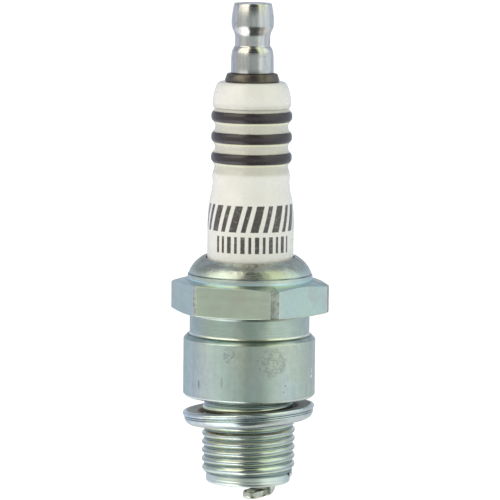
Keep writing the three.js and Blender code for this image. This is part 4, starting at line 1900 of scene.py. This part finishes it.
@dataclass
class Studio:
    """Pale floor, soft surround, two lamps and the camera."""

    lamps: tuple[Lamp, ...] = (
        Lamp("left softbox", -58.0, 18.0, 1.1, (1.0, 0.99, 0.97)),
        Lamp("right softbox", 70.0, 20.0, 0.8, (0.99, 1.0, 0.98)),
    )
    above: Point = (6.0, 22.0)  # degrees of elevation over which the upper ring takes over
    below: Point = (-14.0, -30.0)  # the same for the lower ring
    overhead: Point = (60.0, 85.0)  # the same for the dark crown
    crown: Colour = (0.13, 0.15, 0.16)
    floor_height: float = -45.0
    floor_size: float = 9000.0
    floor_glow: float = 0.45
    aim: float = 21.2
    aside: float = -0.05
    distance: float = 600.0
    azimuth: float = 12.0
    elevation: float = 6.5
    roll: float = 0.62
    field: float = 72.46

    def floor(self) -> None:
        """Lays the plain pale floor."""
        bm = bmesh.new()
        bmesh.ops.create_grid(bm, x_segments=1, y_segments=1, size=self.floor_size / 2.0 * MM)
        bmesh.ops.translate(bm, vec=(0, 0, self.floor_height * MM), verts=bm.verts)
        mesh = bpy.data.meshes.new("floor")
        bm.to_mesh(mesh)
        bm.free()
        plane = bpy.data.objects.new("floor", mesh)
        bpy.context.scene.collection.objects.link(plane)
        material, graph, shader = new_material("pale floor")
        graph.feed(shader.inputs["Base Color"], (0.9, 0.9, 0.9))
        graph.feed(shader.inputs["Roughness"], 0.9)
        graph.feed(shader.inputs["Emission Color"], WHITE)
        graph.feed(shader.inputs["Emission Strength"], self.floor_glow)
        mesh.materials.append(material)
        plane.visible_glossy = False

    def surround(self) -> None:
        """Makes the soft studio surround that lights the plug."""
        world = bpy.data.worlds.new("soft studio")
        bpy.context.scene.world = world
        world.use_nodes = True
        world.node_tree.nodes.clear()
        graph = Graph(world.node_tree)
        source = graph.add("ShaderNodeTexCoord").outputs["Generated"]
        x, y, z = graph.split(graph.stretch(source, EVEN, (0.0, 0.0, -VIEW_AZIMUTH)))
        turn = graph.plus(graph.times(graph.maths("ARCTAN2", y, x), 1.0 / FULL_TURN), 0.5)
        lift = graph.maths("ARCSINE", z)
        level = self.ring(graph, turn, SURROUND_LEVEL)
        for span, other in (
            (self.above, self.ring(graph, turn, SURROUND_UPPER)),
            (self.below, self.ring(graph, turn, SURROUND_LOWER)),
            (self.overhead, self.crown),
        ):
            share = graph.between(lift, math.radians(span[0]), math.radians(span[1]))
            level = graph.blend(share, level, other)
        bright = graph.add("ShaderNodeVectorMath", {0: level, 3: SURROUND_GAIN}, operation="SCALE")
        around = graph.add("ShaderNodeBackground", {0: bright.outputs[0], 1: 1.0}).outputs[0]
        plain = graph.add("ShaderNodeBackground", {0: WHITE, 1: 1.0}).outputs[0]
        seen = graph.add("ShaderNodeLightPath").outputs["Is Camera Ray"]
        mixed = graph.add("ShaderNodeMixShader", {0: seen, 1: around, 2: plain}).outputs[0]
        graph.add("ShaderNodeOutputWorld", {"Surface": mixed})

    @staticmethod
    def ring(graph: Graph, turn: Socket, stops: tuple) -> Socket:
        """Adds the lights and shades round the plug at one level.

        Args:
            graph: Graph of the world.
            turn: Direction in turns, with the camera's side at a half.
            stops: Angles from the camera's side with their colours, from -180 to 180.

        Returns:
            The colour in each direction.
        """
        node = graph.add("ShaderNodeValToRGB", {0: turn})
        ramp = node.color_ramp
        ramp.interpolation = "EASE"
        while len(ramp.elements) > 1:
            ramp.elements.remove(ramp.elements[-1])
        for number, (angle, colour) in enumerate(stops):
            position = angle / 360.0 + 0.5
            stop = ramp.elements[0] if number == 0 else ramp.elements.new(position)
            stop.position = position
            stop.color = (*colour, 1.0)
        return node.outputs[0]

    def hang(self, lamp: Lamp) -> None:
        """Hangs one lamp.

        Args:
            lamp: Its place, size and light.
        """
        data = bpy.data.lights.new(lamp.name, "AREA")
        data.size = lamp.size * MM
        data.energy = lamp.watts
        data.color = lamp.tint
        hung = bpy.data.objects.new(lamp.name, data)
        back = away(VIEW_AZIMUTH + lamp.azimuth, lamp.elevation)
        hung.location = (Vector((0, 0, self.aim)) + back * lamp.distance) * MM
        hung.rotation_euler = (-back).to_track_quat("-Z", "Y").to_euler()
        hung.visible_glossy = False
        bpy.context.scene.collection.objects.link(hung)

    def camera(self) -> None:
        """Stands the camera at its viewing angle."""
        data = bpy.data.cameras.new("camera")
        data.sensor_width = 36.0
        data.lens = data.sensor_width * self.distance / self.field
        data.clip_start, data.clip_end = 0.01, 20.0
        back = away(self.azimuth - 90.0, self.elevation)
        turn = (-back).to_track_quat("-Z", "Y") @ Euler((0, 0, math.radians(self.roll))).to_quaternion()
        camera = bpy.data.objects.new("camera", data)
        camera.rotation_mode = "QUATERNION"
        camera.rotation_quaternion = turn
        aside = away(self.azimuth, 0.0) * self.aside
        camera.location = (Vector((0, 0, self.aim)) + aside + back * self.distance) * MM
        bpy.context.scene.collection.objects.link(camera)
        bpy.context.scene.camera = camera

    def build(self) -> None:
        """Builds the whole studio."""
        self.floor()
        self.surround()
        for lamp in self.lamps:
            self.hang(lamp)
        self.camera()
        bpy.context.scene.view_settings.view_transform = "Standard"
        bpy.context.scene.view_settings.look = "None"


def main() -> None:
    """Builds the plug from the terminal down to the firing end, then the studio."""
    logging.basicConfig(level=logging.INFO, format="%(name)s %(message)s")
    steel = BareMetal("tarnished turned steel", (0.70, 0.69, 0.68), (0.30, 0.28, 0.27), 0.15, streaks=0.3)
    dark = BareMetal("oxidised dark steel", (0.17, 0.15, 0.135), (0.06, 0.05, 0.045), 0.36)
    nickel = BareMetal("satin nickel alloy", (0.66, 0.68, 0.58), (0.34, 0.36, 0.28), 0.3, 0.6, 0.8)
    weld = BareMetal("heat-tinted weld", (0.46, 0.44, 0.40), (0.20, 0.17, 0.22), 0.35)
    wire = BareMetal("bright fine wire", (0.80, 0.80, 0.78), (0.5, 0.5, 0.48), 0.18)
    Terminal().build(steel.build(), dark.build())
    Insulator().build(GlazedCeramic().build())
    Shell().build(
        PlatedSteel("satin zinc plate", Zone.TURNED).build(),
        PlatedSteel(
            "zinc plate on the hexagon", Zone.HEXAGON, roughness=0.33, lines=2.0, hollow_shade=0.3
        ).build(),
        PlatedSteel(
            "zinc plate on the thread", Zone.THREAD, roughness=0.16, lines=9.0, warmth=0.9, hollow_shade=0.4
        ).build(),
    )
    Gasket().build(
        PlatedSteel(
            "zinc plate on the gasket", Zone.GASKET, cool=(0.62, 0.71, 0.73), warm=(0.64, 0.62, 0.52),
            lilac=(0.66, 0.67, 0.71), roughness=0.14, warmth=0.4, violet=0.3, hollow_shade=1.0,
        ).build()
    )
    FiringEnd().build(nickel.build(), wire.build(), weld.build())
    Internals().dress()
    Studio().build()


if __name__ == "__main__":
    main()
